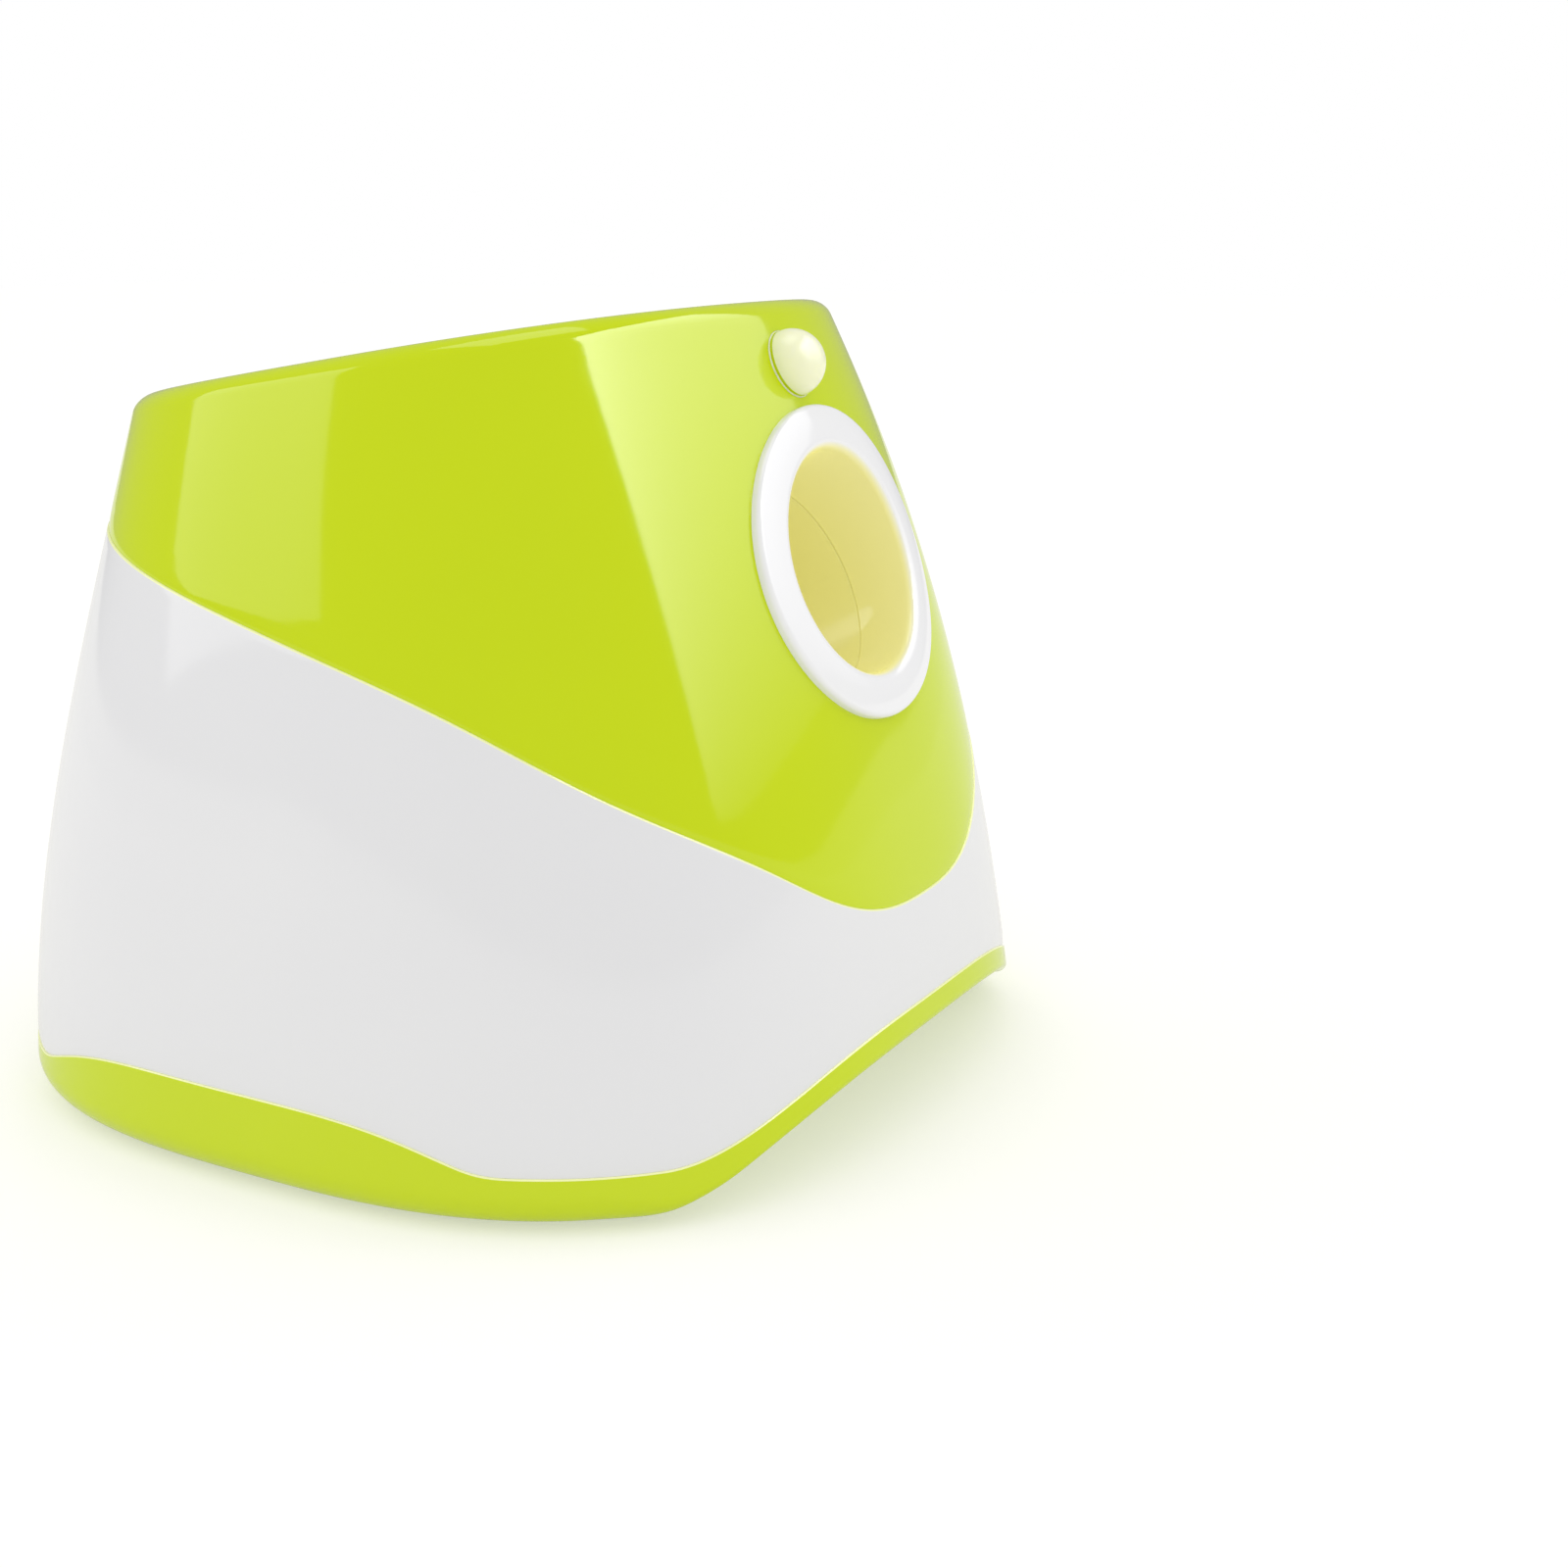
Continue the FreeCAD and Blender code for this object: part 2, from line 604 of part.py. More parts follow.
def build_gear_shafts():
    sector, second, third, _ = gear_centres()
    low, high = plate_levels()
    thick = size("plate_thick")
    rows = (("sector_shaft", sector, "sector_shaft_radius"),
            ("second_shaft", second, "gear_shaft_radius"),
            ("third_shaft", third, "gear_shaft_radius"))
    for name, centre, radius in rows:
        shaft = disc(size(radius), low - thick, high + thick)
        part(name, feature(name, shaft), along(centre.x, centre.y, 0))


def pillar_places():
    inset = size("pillar_inset")
    near, far = size("plate_inner") + inset, size("plate_outer") - inset
    front, back = size("plate_front") + inset, size("plate_back") - inset
    return [(near, front), (near, back), (far, front), (far, back)]


def build_gearbox():
    """Two plates held apart by four pillars, with the shafts pressed into them."""
    sector, second, third, motor = gear_centres()
    low, high = plate_levels()
    thick = size("plate_thick")
    under = size("plate_low")
    length = size("plate_screw_length")
    pillars = []
    top_places = []
    low_places = []
    lug_places = []
    for x, y in pillar_places():
        pillars.append(feature("pillar_one", disc(size("pillar_radius"), low, high), along(x, y, 0)))
        top_places.append(along(x, y, high + thick, X_AXIS, 180.0))
        if x < size("plate_inner") + 2 * size("pillar_inset"):
            lug_places.append(along(x, y, under - size("lug_thick")))
        else:
            low_places.append(along(x, y, under))
    top_holes = screws("gearbox_top_screws", top_places, length)
    low_holes = screws("gearbox_low_screws", low_places, length)
    lug_holes = screws("gearbox_lug_screws", lug_places, length + size("lug_thick"))
    part("gearbox_pillars", cut("gearbox_pillars", fuse("pillars", *pillars), top_holes, low_holes,
                                lug_holes))
    motor_screws = []
    for side in (-1, 1):
        reach = side * size("motor_screw_circle")
        motor_screws.append(along(motor.x, motor.y + reach, under + thick, X_AXIS, 180.0))
    motor_holes = screws("motor_screws", motor_screws, thick + 4.0)
    width = size("plate_outer") - size("plate_inner")
    depth = size("plate_back") - size("plate_front")
    for name, level in (("gearbox_low_plate", under), ("gearbox_top_plate", high)):
        plate = Part.makeBox(width, depth, thick,
                             Vector(size("plate_inner"), size("plate_front"), level))
        for centre, radius in ((sector, "sector_shaft_radius"), (second, "gear_shaft_radius"),
                               (third, "gear_shaft_radius")):
            hole = Part.makeCylinder(size(radius), thick, Vector(centre.x, centre.y, level))
            plate = plate.cut(hole)
        if level == under:
            boss = Part.makeCylinder(size("motor_boss_radius") + size("screw_clearance"), thick,
                                     Vector(motor.x, motor.y, level))
            plate = plate.cut(boss)
        slab = feature(name + "_slab", plate, launch_frame())
        holes = (low_holes, lug_holes, motor_holes) if level == under else (top_holes,)
        part(name, cut(name, slab, *holes))
    can = disc(size("motor_radius"), under - size("motor_length"), under)
    boss = disc(size("motor_boss_radius"), under, under + size("motor_boss_height"))
    solid = can.fuse(boss).cut(disc(size("motor_shaft_radius") + size("running_clearance"),
                                    under - size("motor_length") / 2, under + thick))
    raw = feature("motor_raw", solid, along(motor.x, motor.y, 0))
    part("motor", cut("motor", raw, motor_holes))
    return lug_holes


# ---------------------------------------------------------------- barrel and piston

def ear_places(count, offset, reach):
    """Places of screw ears round the bore: angle measured from across towards the top."""
    angles = [math.radians(offset + 360.0 * number / count) for number in range(count)]
    return [(reach * math.cos(angle), reach * math.sin(angle)) for angle in angles]


def build_barrel(lug_holes):
    """Bore tube with a funnel neck, screw ears, gearbox lugs and the lever's shelf."""
    outside = "bore_radius + barrel_wall"
    tube = bore_rod("tube", outside, "sleeve_end", "barrel_end - sleeve_end")
    neck_y = -size("mouth_forward") + size("throat_along") * math.cos(
        math.radians(size("launch_angle")))
    bore_z = size("mouth_height") - size("throat_along") * math.sin(
        math.radians(size("launch_angle")))
    to_bore = launch_frame().inverse()
    # the neck is a little slimmer than the tube, so that their round faces cross cleanly
    inner = size("bore_radius") - size("neck_inset")
    outer = inner + size("barrel_wall")
    neck_at = to_bore.multiply(upright(0, neck_y, bore_z))
    neck_height = size("throat_height") - bore_z
    neck = feature("neck", Part.makeCylinder(outer, neck_height), neck_at)
    neck_bore = feature("neck_bore", Part.makeCylinder(inner, neck_height + 1), neck_at)
    solids = [tube, neck]
    reach = size("ear_circle") + 1.0
    for x, z in ear_places(3, 30.0, reach):
        solids.append(rod("front_ear", "ear_radius", "front_ear_length",
                          (str(x), "sleeve_end", str(z)), LENGTHWISE))
    for x, z in ear_places(4, 45.0, reach):
        solids.append(rod("rear_ear", "ear_radius", "rear_ear_length",
                          (str(x), "barrel_end - rear_ear_length", str(z)), LENGTHWISE))
    lug_size = ("plate_inner + 2 * pillar_inset - bore_radius", "lug_width", "lug_thick")
    for start in ("plate_front", "plate_back - lug_width"):
        solids.append(block("lug", lug_size, ("bore_radius", start, "plate_low - lug_thick")))
    shelf_across = "lever_pivot_across + lever_travel_room + switch_depth - bore_radius + 2"
    solids.append(block("shelf", (shelf_across, "shelf_length", "shelf_thick"),
                        (f"-bore_radius - ({shelf_across})", "lever_pivot_along - 5",
                         "-shelf_drop - shelf_thick")))
    bore = bore_rod("bore", "bore_radius", "sleeve_end - 1", "barrel_end - sleeve_end + 2")
    slot_high = "2 * (rack_half_height + slot_clearance)"
    slot = block("rack_slot", ("40", "barrel_end - piston_front + slot_clearance + 8", slot_high),
                 ("bore_radius - 5", "piston_front - slot_clearance",
                  "-rack_half_height - slot_clearance"))
    window = block("lever_window", ("14", "16", "lever_height + 1.6"),
                   ("-bore_radius - 8", "lever_pivot_along + 8", "-lever_height / 2 - 0.8"))
    pin_hole = rod("lever_pin_hole", "lever_pin_radius", "20",
                   ("-lever_pivot_across", "lever_pivot_along", "-15"))
    raw = cut("barrel_raw", fuse("barrel_solids", *solids), bore, neck_bore, slot, window, pin_hole)
    placed = moved(raw, launch_frame())
    front_screws = [along(x, size("sleeve_end") + size("front_ear_length"), z, X_AXIS, 90.0)
                    for x, z in ear_places(3, 30.0, reach)]
    ring_holes = screws("ring_screws", front_screws, size("ring_screw_length"))
    rear_screws = [along(x, size("barrel_end") + size("cap_thick"), z, X_AXIS, 90.0)
                   for x, z in ear_places(4, 45.0, reach)]
    cap_holes = screws("cap_screws", rear_screws, size("cap_screw_length"))
    part("barrel", cut("barrel", placed, lug_holes, ring_holes, cap_holes))
    return ring_holes, cap_holes, neck_y


def build_cap(cap_holes):
    """Rear cap with the guide that the spring slides over."""
    reach = size("ear_circle") + 1.0
    plate = [bore_rod("cap_disc", "bore_radius + barrel_wall", "barrel_end", "cap_thick"),
             bore_rod("cap_guide", "cap_guide_radius", "barrel_end - cap_guide_length",
                      "cap_guide_length")]
    for x, z in ear_places(4, 45.0, reach):
        plate.append(rod("cap_ear", "ear_radius", "cap_thick", (str(x), "barrel_end", str(z)),
                         LENGTHWISE))
    hole = bore_rod("cap_bore", "cap_guide_bore", "barrel_end - cap_guide_length - 1",
                    "cap_guide_length + cap_thick + 2")
    raw = cut("cap_raw", fuse("cap_solids", *plate), hole)
    placed = moved(raw, launch_frame())
    part("barrel_cap", cut("barrel_cap", placed, cap_holes))


def rack_solid():
    """Toothed bar on the piston's side, with a gap at the sector's first tooth."""
    module = size("gear_module")
    pitch = math.pi * module
    slope = math.tan(math.radians(size("pressure_angle")))
    line = rack_line()
    tip, root = line + size("addendum") * module, line - size("dedendum") * module
    start, end = size("piston_front"), size("piston_front") + size("piston_length")
    inner = size("bore_radius") - 4.0
    points = [Vector(inner, start, 0), Vector(root, start, 0)]
    first = math.ceil((start - size("sector_along")) / pitch)
    last = math.floor((end - size("sector_along")) / pitch)
    for number in range(first, last):
        middle = size("sector_along") + (number + 0.5) * pitch
        half = pitch / 4 - size("backlash")
        low_half = half + size("dedendum") * module * slope
        tip_half = half - size("addendum") * module * slope
        points.append(Vector(root, middle - low_half, 0))
        points.append(Vector(tip, middle - tip_half, 0))
        points.append(Vector(tip, middle + tip_half, 0))
        points.append(Vector(root, middle + low_half, 0))
    points += [Vector(root, end, 0), Vector(inner, end, 0), points[0]]
    height = 2 * size("rack_half_height")
    solid = Part.Face(Part.makePolygon(points)).extrude(Z_AXIS * height)
    solid.translate(Z_AXIS * (-height / 2))
    return solid


def build_piston():
    """Hollow piston with its rack, the rubber pad on its face and the spring behind it."""
    body = bore_rod("piston_body", "bore_radius - piston_clearance", "piston_front",
                    "piston_length")
    hollow = bore_rod("piston_hollow", "piston_bore", "piston_front + piston_face",
                      "piston_length")
    raw = cut("piston_raw", fuse("piston_solids", body, feature("rack", rack_solid())), hollow)
    part("piston", raw, launch_frame())
    pad = bore_rod("piston_pad_raw", "pad_radius", "piston_front - pad_thick", "pad_thick")
    part("piston_pad", group("piston_pad", [pad]), launch_frame())
    seat = size("piston_front") + size("piston_face")
    wire = size("spring_wire") / 2
    free = size("barrel_end") - seat - 2 * wire
    helix = Part.makeHelix(free / size("spring_turns"), free, size("spring_mean_radius"))
    profile = Part.Wire([Part.makeCircle(wire, Vector(size("spring_mean_radius"), 0, 0), Y_AXIS)])
    coil = Part.Wire(helix.Edges).makePipeShell([profile], True, True)
    coil.rotate(Vector(), X_AXIS, -90.0)
    coil.translate(Y_AXIS * (seat + wire))
    part("launch_spring", feature("launch_spring", coil), launch_frame())


def build_lever():
    """Lever that a loaded ball pushes aside, its pin and the switch behind it."""
    turn = size("lever_pivot_across")
    centre = size("lever_pivot_along")
    half = size("lever_height") / 2
    hub = Part.makeCylinder(size("lever_hub"), 2 * half, Vector(-turn, centre, -half))
    arm = Part.makeBox(size("lever_thick"), size("lever_arm"), 2 * half,
                       Vector(-turn - size("lever_thick") / 2, centre, -half))
    nose_y = centre + size("lever_arm") - size("lever_nose")
    nose_x = size("lever_reach") + size("lever_nose")
    stem = Part.makeBox(turn - nose_x, 2 * size("lever_nose"), 2 * half,
                        Vector(-turn, nose_y - size("lever_nose"), -half))
    tip = Part.makeCylinder(size("lever_nose"), 2 * half, Vector(-nose_x, nose_y, -half))
    solid = hub.fuse([arm, stem, tip])
    hole = Part.makeCylinder(size("lever_pin_radius") + size("running_clearance"), 2 * half,
                             Vector(-turn, centre, -half))
    part("ball_lever", feature("ball_lever", solid.cut(hole).removeSplitter()), launch_frame())
    base = -size("shelf_drop") - size("shelf_thick")
    pin = Part.makeCylinder(size("lever_pin_radius"), half + 1.0 - base,
                            Vector(-turn, centre, base))
    part("lever_pin", feature("lever_pin", pin), launch_frame())
    body = Part.makeBox(size("switch_depth"), size("switch_length"),
                        size("switch_height"),
                        Vector(-turn - size("lever_travel_room") - size("switch_depth"),
                               centre + 5.0, -size("shelf_drop")))
    part("lever_switch", feature("lever_switch", body), launch_frame())


# ---------------------------------------------------------------- mouth ring and funnel

def build_ring(outer, ring_holes):
    """Lip lying on the skin round the mouth, with a sleeve back to the barrel."""
    proud = body_loft("ring_limit", -size("ring_proud"), 85.0)
    mouth = Vector(0, -size("mouth_forward"), size("mouth_height"))
    tilt = Placement(mouth, Rotation(X_AXIS, 90.0 - size("ring_tilt")))
    tilt = tilt.multiply(Placement(Vector(0, 0, -30.0), Rotation()))
    drum = feature("ring_drum", Part.makeCylinder(size("ring_radius"), 60.0), tilt)
    lip = cut("ring_lip", common("ring_lip_raw", proud, drum), outer)
    sleeve_reach = size("ring_bore") + size("sleeve_wall")
    tube = Part.makeCylinder(sleeve_reach, size("sleeve_end") + 30.0)
    sleeve = [feature("sleeve_tube", tube, along(0, -30, 0, *LENGTHWISE))]
    for x, z in ear_places(3, 30.0, size("ear_circle") + 1.0):
        ear = Part.makeCylinder(size("ear_radius"), size("ring_ear_length"))
        start = size("sleeve_end") - size("ring_ear_length")
        sleeve.append(feature("sleeve_ear", ear, along(x, start, z, *LENGTHWISE)))
    sleeve_all = common("sleeve_limit", fuse("sleeve_solids", *sleeve), proud)
    bore = feature("ring_bore_tool", Part.makeCylinder(size("ring_bore"), 90.0),
                   along(0, -50, 0, *LENGTHWISE))
    solids = fuse("ring_solids", lip, sleeve_all)
    part("launch_ring", cut("launch_ring", solids, bore, ring_holes))
    return feature("ring_hole_tool", Part.makeCylinder(size("ring_hole"), 60.0), tilt)


def funnel_wire(z, inset, neck_y, throat):
    """Funnel outline: the rim's shape at the top, a round throat at the bottom."""
    top = size("funnel_start")
    depth = (top - z) / (top - size("throat_height"))
    blend = min(max(depth, 0.0), 1.0) ** size("funnel_power")

    def reach(azimuth):
        return (1 - blend) * body_radius(azimuth, z, inset) + blend * throat

    return ring_wire(z, reach, blend * neck_y)


def build_funnel(neck_y, sensor_room):
    """Bowl under the rim, leading down to the barrel's neck."""
    low = size("throat_height")
    levels = even_levels(low)
    outer_inset = size("rim_width") + size("funnel_gap")
    inner_inset = outer_inset + size("funnel_wall")
    bore = size("bore_radius")
    outside = loft("funnel_outside", [funnel_wire(z, outer_inset, neck_y,
                                                  bore + size("barrel_wall")) for z in levels])
    inside = loft("funnel_inside", [funnel_wire(z, inner_inset, neck_y, bore)
                                    for z in levels])
    flange_body = body_loft("flange_body", size("shell_wall") + size("funnel_gap"), 180.0)
    slab = cut("flange_top", flange_body, above_rim("flange_upper", size("rim_thick")))
    lower = above_rim("flange_lower", size("rim_thick") + size("funnel_flange"))
    flange = common("flange", slab, lower)
    bowl = cut("bowl", outside, above_rim("bowl_cutter", 0.4))
    places = []
    slope = math.tan(math.radians(size("rim_slope")))
    under = size("rim_thick") + size("funnel_flange")
    for azimuth in (40.0, 140.0, 220.0, 320.0):
        reach = body_radius(azimuth, size("body_height")) - 0.62 * size("rim_width")
        x = reach * math.cos(math.radians(azimuth))
        y = reach * math.sin(math.radians(azimuth))
        z = size("body_height") - slope * y - under / math.cos(math.radians(size("rim_slope")))
        tilt = Rotation(X_AXIS, -size("rim_slope"))
        places.append(Placement(Vector(x, y, z), tilt))
    holes = screws("funnel_screws", places, size("funnel_screw_length"))
    raw = cut("funnel_raw", fuse("funnel_solids", bowl, flange), inside, sensor_room)
    part("ball_funnel", cut("ball_funnel", raw, holes))
    return holes


# ---------------------------------------------------------------- sensor, panel, inlet

def on_skin(name, frame, shape):
    return feature(name, shape, frame)


def build_sensor():
    """Domed lens in the brow, with its holder, sensor can and small board."""
    frame = skin_frame(270.0, size("lens_height"))
    radius, collar, dome = size("lens_radius"), size("lens_collar"), size("lens_dome")
    ball_radius = (radius ** 2 + dome ** 2) / (2 * dome)
    cap = Part.makeSphere(ball_radius, Vector(0, 0, collar + dome - ball_radius))
    cap = cap.common(disc(radius, collar, collar + dome + size("lens_clearance")))
    shoulder = -size("shell_wall") - size("lens_seat")
    back = shoulder - size("lens_flange")
    end = back - size("holder_depth")
    board_back = end - size("board_thick")
    lip = radius + size("lens_lip")
    plug = disc(radius, shoulder, collar)
    lens = cap.fuse([plug, disc(lip, back, shoulder)]).removeSplitter()
    part("sensor_lens", on_skin("sensor_lens", frame, lens))
    holder = disc(lip, end, back).cut(disc(radius - size("holder_inset"), end, back))
    part("sensor_holder", on_skin("sensor_holder", frame, holder))
    width, height = size("sensor_board_width"), size("sensor_board_height")
    board = Part.makeBox(width, height, size("board_thick"),
                         Vector(-width / 2, -height / 2, board_back))
    part("sensor_board", on_skin("sensor_board", frame, board))
    can = disc(size("sensor_radius"), end, end + size("sensor_length"))
    part("motion_sensor", on_skin("motion_sensor", frame, can))
    hole = disc(radius + size("lens_clearance"), -30.0, 10.0)
    seat = disc(lip + size("lens_seat_clearance"), -30.0, shoulder)
    room = disc(lip + size("sensor_room_side"), board_back - size("sensor_room_back"), 0.0)
    return (on_skin("lens_hole", frame, hole), on_skin("lens_seat", frame, seat),
            on_skin("sensor_room", frame, room))


def build_panel():
    """Push button, light pipe, board, tact switch and buzzer behind the back wall."""
    frame = skin_frame(90.0, size("button_height"))
    wall = size("shell_wall")
    depth = size("control_depth")
    radius = size("button_radius")
    flange_top = -wall - 0.6
    flange_low = flange_top - size("button_flange")
    switch_top = -depth + 2.2
    stem_end = switch_top + size("button_travel") + 0.2
    button = disc(radius, flange_low, size("button_proud"))
    button = button.fuse([disc(radius + 2.0, flange_low, flange_top),
                          disc(size("button_stem"), stem_end, flange_low)])
    part("power_button", on_skin("power_button", frame, button.removeSplitter()))
    side = size("switch_body")
    switch = Part.makeBox(side, side, switch_top + depth, Vector(-side / 2, -side / 2, -depth))
    part("button_switch", on_skin("button_switch", frame, switch))
    width, height = size("control_width"), size("control_height")
    board = Part.makeBox(width, height, size("board_thick"),
                         Vector(-width / 2, -height / 2, -depth - size("board_thick")))
    board_item = on_skin("control_board_raw", frame, board)
    light = disc(size("light_radius"), -depth, 0.4)
    light.translate(X_AXIS * size("light_offset"))
    part("status_light", on_skin("status_light", frame, light))
    sounder = disc(size("buzzer_radius"), -depth - size("board_thick") - size("buzzer_length"),
                   -depth - size("board_thick"))
    sounder.translate(X_AXIS * (-size("light_offset")))
    part("buzzer", on_skin("buzzer", frame, sounder))
    posts = []
    places = []
    for sx in (-1, 1):
        for sy in (-1, 1):
            x, y = sx * size("control_post_x"), sy * size("control_post_y")
            post = Part.makeCylinder(size("control_post_radius"), depth - 1.0, Vector(x, y, -depth))
            posts.append(on_skin("control_post", frame, post))
            places.append(frame.multiply(upright(x, y, -depth - size("board_thick"))))
    holes = screws("board_screws", places, size("control_screw_length"))
    part("control_board", cut("control_board", board_item, holes))
    button_hole = on_skin("button_hole", frame, disc(radius + size("button_gap"), -30, 10))
    light_hole = disc(size("light_radius") + 0.1, -8.0, 10.0)
    light_hole.translate(X_AXIS * size("light_offset"))
    light_hole = on_skin("light_hole", frame, light_hole)
    return fuse("control_posts", *posts), button_hole, light_hole, holes


def build_inlet():
    """Round low-voltage socket low in the back."""
    frame = skin_frame(size("inlet_azimuth"), size("inlet_height"))
    wall = size("shell_wall")
    side = size("inlet_body")
    bezel = disc(size("inlet_bezel"), 0.3, size("inlet_bezel_thick"))
    neck = disc(size("inlet_neck"), -wall - 1.0, size("inlet_bezel_thick"))
    body = Part.makeBox(side, side, side, Vector(-side / 2, -side / 2, -wall - 1.0 - side))
    hole = disc(size("inlet_hole"), size("inlet_bezel_thick") - size("inlet_depth"), 10.0)
    pin = disc(size("inlet_pin"), size("inlet_bezel_thick") - size("inlet_depth") - 0.5, -1.0)
    solid = bezel.fuse([neck, body]).cut(hole).fuse(pin)
    part("power_inlet", on_skin("power_inlet", frame, solid.removeSplitter()))
    clear = disc(size("inlet_neck") + 0.1, -wall - 6.0, 10.0)
    seat = Part.makeBox(side + 1, side + 1, 20.0,
                        Vector(-side / 2 - 0.5, -side / 2 - 0.5, -wall - 21.0))
    recess = disc(size("inlet_bezel") + 0.2, 0.3, 10.0)
    return on_skin("inlet_hole", frame, clear.fuse([seat, recess]))


# ---------------------------------------------------------------- base fittings

def arch_points(grow):
    """The tunnel under the base: height times (1 - |x / half|^power), grown by a wall."""
    half, height = size("arch_half") + grow, size("arch_height") + grow
    count = 24
    points = []
    for step in range(count + 1):
        x = half * math.sin(math.pi * (step / count - 0.5))
        points.append((x, height * (1.0 - abs(x / half) ** size("arch_power"))))
    return points


def battery_box_sizes():
    """Inner corner and inner sizes of the compartment."""
    gap = size("cell_gap")
    width = 6 * size("cell_radius") + 4 * gap
    length = 2 * size("cell_length") + 3 * gap + 2 * size("contact_thick")
    low = size("arch_height") + size("base_wall")
    height = 2 * size("cell_radius") + 2 * gap
    return width, length, low, height


def build_battery(arch_under, arch_over):
    """Compartment, six cells, contacts and the door flush with the base's underside."""
    width, length, low, height = battery_box_sizes()
    wall = size("battery_wall")
    back = -size("battery_back")
    front = back - length
    box = Part.makeBox(width + 2 * wall, length + 2 * wall, height + wall + 20.0,
                       Vector(-width / 2 - wall, front - wall, low - 20.0))
    inside = Part.makeBox(width, length, height + 20.0, Vector(-width / 2, front, low - 20.0))
    inset = size("door_boss") - 1.0
    screw_y = (front - wall - inset, back + wall + inset)
    solids = [feature("battery_outer", box)]
    places = []
    for y in screw_y:
        boss = Part.makeCylinder(size("door_boss"), height + size("battery_wall"),
                                 Vector(0, y, low - 20.0))
        solids.append(feature("battery_boss", boss))
        places.append(upright(0, y, size("arch_height")))
    holes = screws("door_screws", places, size("door_screw_length"))
    raw = cut("battery_raw", fuse("battery_solids", *solids), feature("battery_inside", inside),
              arch_over)
    part("battery_box", cut("battery_box", raw, holes))
    cells = []
    contacts = []
    step = 2 * size("cell_radius") + size("cell_gap")
    level = low + size("cell_gap") + size("cell_radius")
    for column in (-1, 0, 1):
        for number in (0, 1):
            start = front + size("contact_thick") + size("cell_gap") + number * (
                size("cell_length") + size("cell_gap"))
            cell = Part.makeCylinder(size("cell_radius"), size("cell_length"),
                                     Vector(column * step, start, level), Y_AXIS)
            cells.append(feature("cell", cell))
        for start in (front, back - size("contact_thick")):
            face = size("contact_size")
            plate = Part.makeBox(face, size("contact_thick"), face,
                                 Vector(column * step - face / 2, start, level - face / 2))
            contacts.append(feature("contact", plate))
    part("battery_cells", group("battery_cells", cells))
    part("battery_contacts", group("battery_contacts", contacts))
    gap = size("door_gap")
    reach = size("door_lap")
    door = Part.makeBox(width, length + 2 * (wall + reach) - 2 * gap, 60.0,
                        Vector(-width / 2, front - wall - reach + gap, 0.0))
    panel = common("door_panel", feature("door_block", door), arch_over)
    part("battery_door", cut("battery_door", panel, arch_under, holes))
    hatch = Part.makeBox(width + 2 * gap, length + 2 * (wall + reach), 60.0,
                         Vector(-width / 2 - gap, front - wall - reach, 0.0))
    return feature("hatch", hatch)


def build_cradle(arch_over):
    """Block that carries the barrel on the base floor."""
    start = size("cradle_start")
    length = size("cradle_length")
    raw = Part.makeBox(2 * size("cradle_half"), length, 120.0,
                       Vector(-size("cradle_half"), start, 10.0))
    channel = bore_rod("cradle_channel_raw", "bore_radius + barrel_wall", "0", "300")
    roof = block("cradle_roof_raw", ("400", "300", "200"), ("-200", "0", "0"))
    tools = [carried("cradle_channel", channel, launch_frame()),
             carried("cradle_roof", roof, launch_frame()), arch_over]
    places = [upright(side * size("cradle_screw_x"), start + length / 2, size("arch_height"))
              for side in (-1, 1)]
    holes = screws("cradle_screws", places, size("cradle_screw_length"))
    solid = cut("cradle_raw", feature("cradle_block", raw), *tools)
    part("barrel_cradle", cut("barrel_cradle", solid, holes))
    return holes


def build_feet():
    feet = []
    sockets = []
    height = size("foot_height") + size("foot_sink")
    for sx in (-1, 1):
        for sy in (-1, 1):
            spot = Vector(sx * size("foot_x"), sy * size("foot_y"), 0)
            feet.append(feature("foot", Part.makeCylinder(size("foot_radius"), height, spot)))
            sockets.append(feature("socket", Part.makeCylinder(size("foot_radius") + 0.1, height,
                                                               spot)))
    part("rubber_feet", group("rubber_feet", feet))
    return sockets


def build_all():
    arch_under = curtain("arch_under", arch_points(0.0), -1.0, False)
    arch_over = curtain("arch_over", arch_points(size("base_wall")), -1.0, False)
    control_posts, button_hole, light_hole, board_holes = build_panel()
    outer, base, middle, top = build_shells(arch_under, arch_over, control_posts)

    build_gears()
    build_gear_shafts()
    lug_holes = build_gearbox()
    ring_holes, cap_holes, neck_y = build_barrel(lug_holes)
    build_cap(cap_holes)
    build_piston()
    build_lever()
    ring_hole = build_ring(outer, ring_holes)
    lens_hole, lens_seat, sensor_room = build_sensor()
    funnel_holes = build_funnel(neck_y, sensor_room)
    inlet_hole = build_inlet()
    hatch = build_battery(arch_under, arch_over)
    cradle_holes = build_cradle(arch_over)
    sockets = build_feet()

    head = size("screw_head_height")
    sink = size("foot_height") + size("base_wall")
    base_places = [upright(x, y, sink + head) for x, y, _, _ in post_places("corner")]
    base_holes = screws("base_screws", base_places, size("base_screw_length"))
    wells = []
    for x, y, start, _ in post_places("corner"):
        wells.append(feature("screw_well", Part.makeCylinder(size("screw_head") + 0.4, sink + 0.2,
                                                             Vector(x, y, 0))))
    shell_places = [upright(x, y, start + head) for x, y, start, _ in post_places("shell")]
    shell_holes = screws("shell_screws", shell_places, size("shell_screw_length"))

    part("top_shell", cut("top_shell", top, ring_hole, lens_hole, lens_seat, funnel_holes,
                          shell_holes))
    part("middle_shell", cut("middle_shell", middle, button_hole, light_hole, board_holes,
                             inlet_hole, shell_holes, base_holes))
    open_base = cut("open_base", base, hatch)
    fitted = cut("fitted_base", open_base, *wells, *sockets)
    part("base", cut("base", fitted, base_holes, cradle_holes))


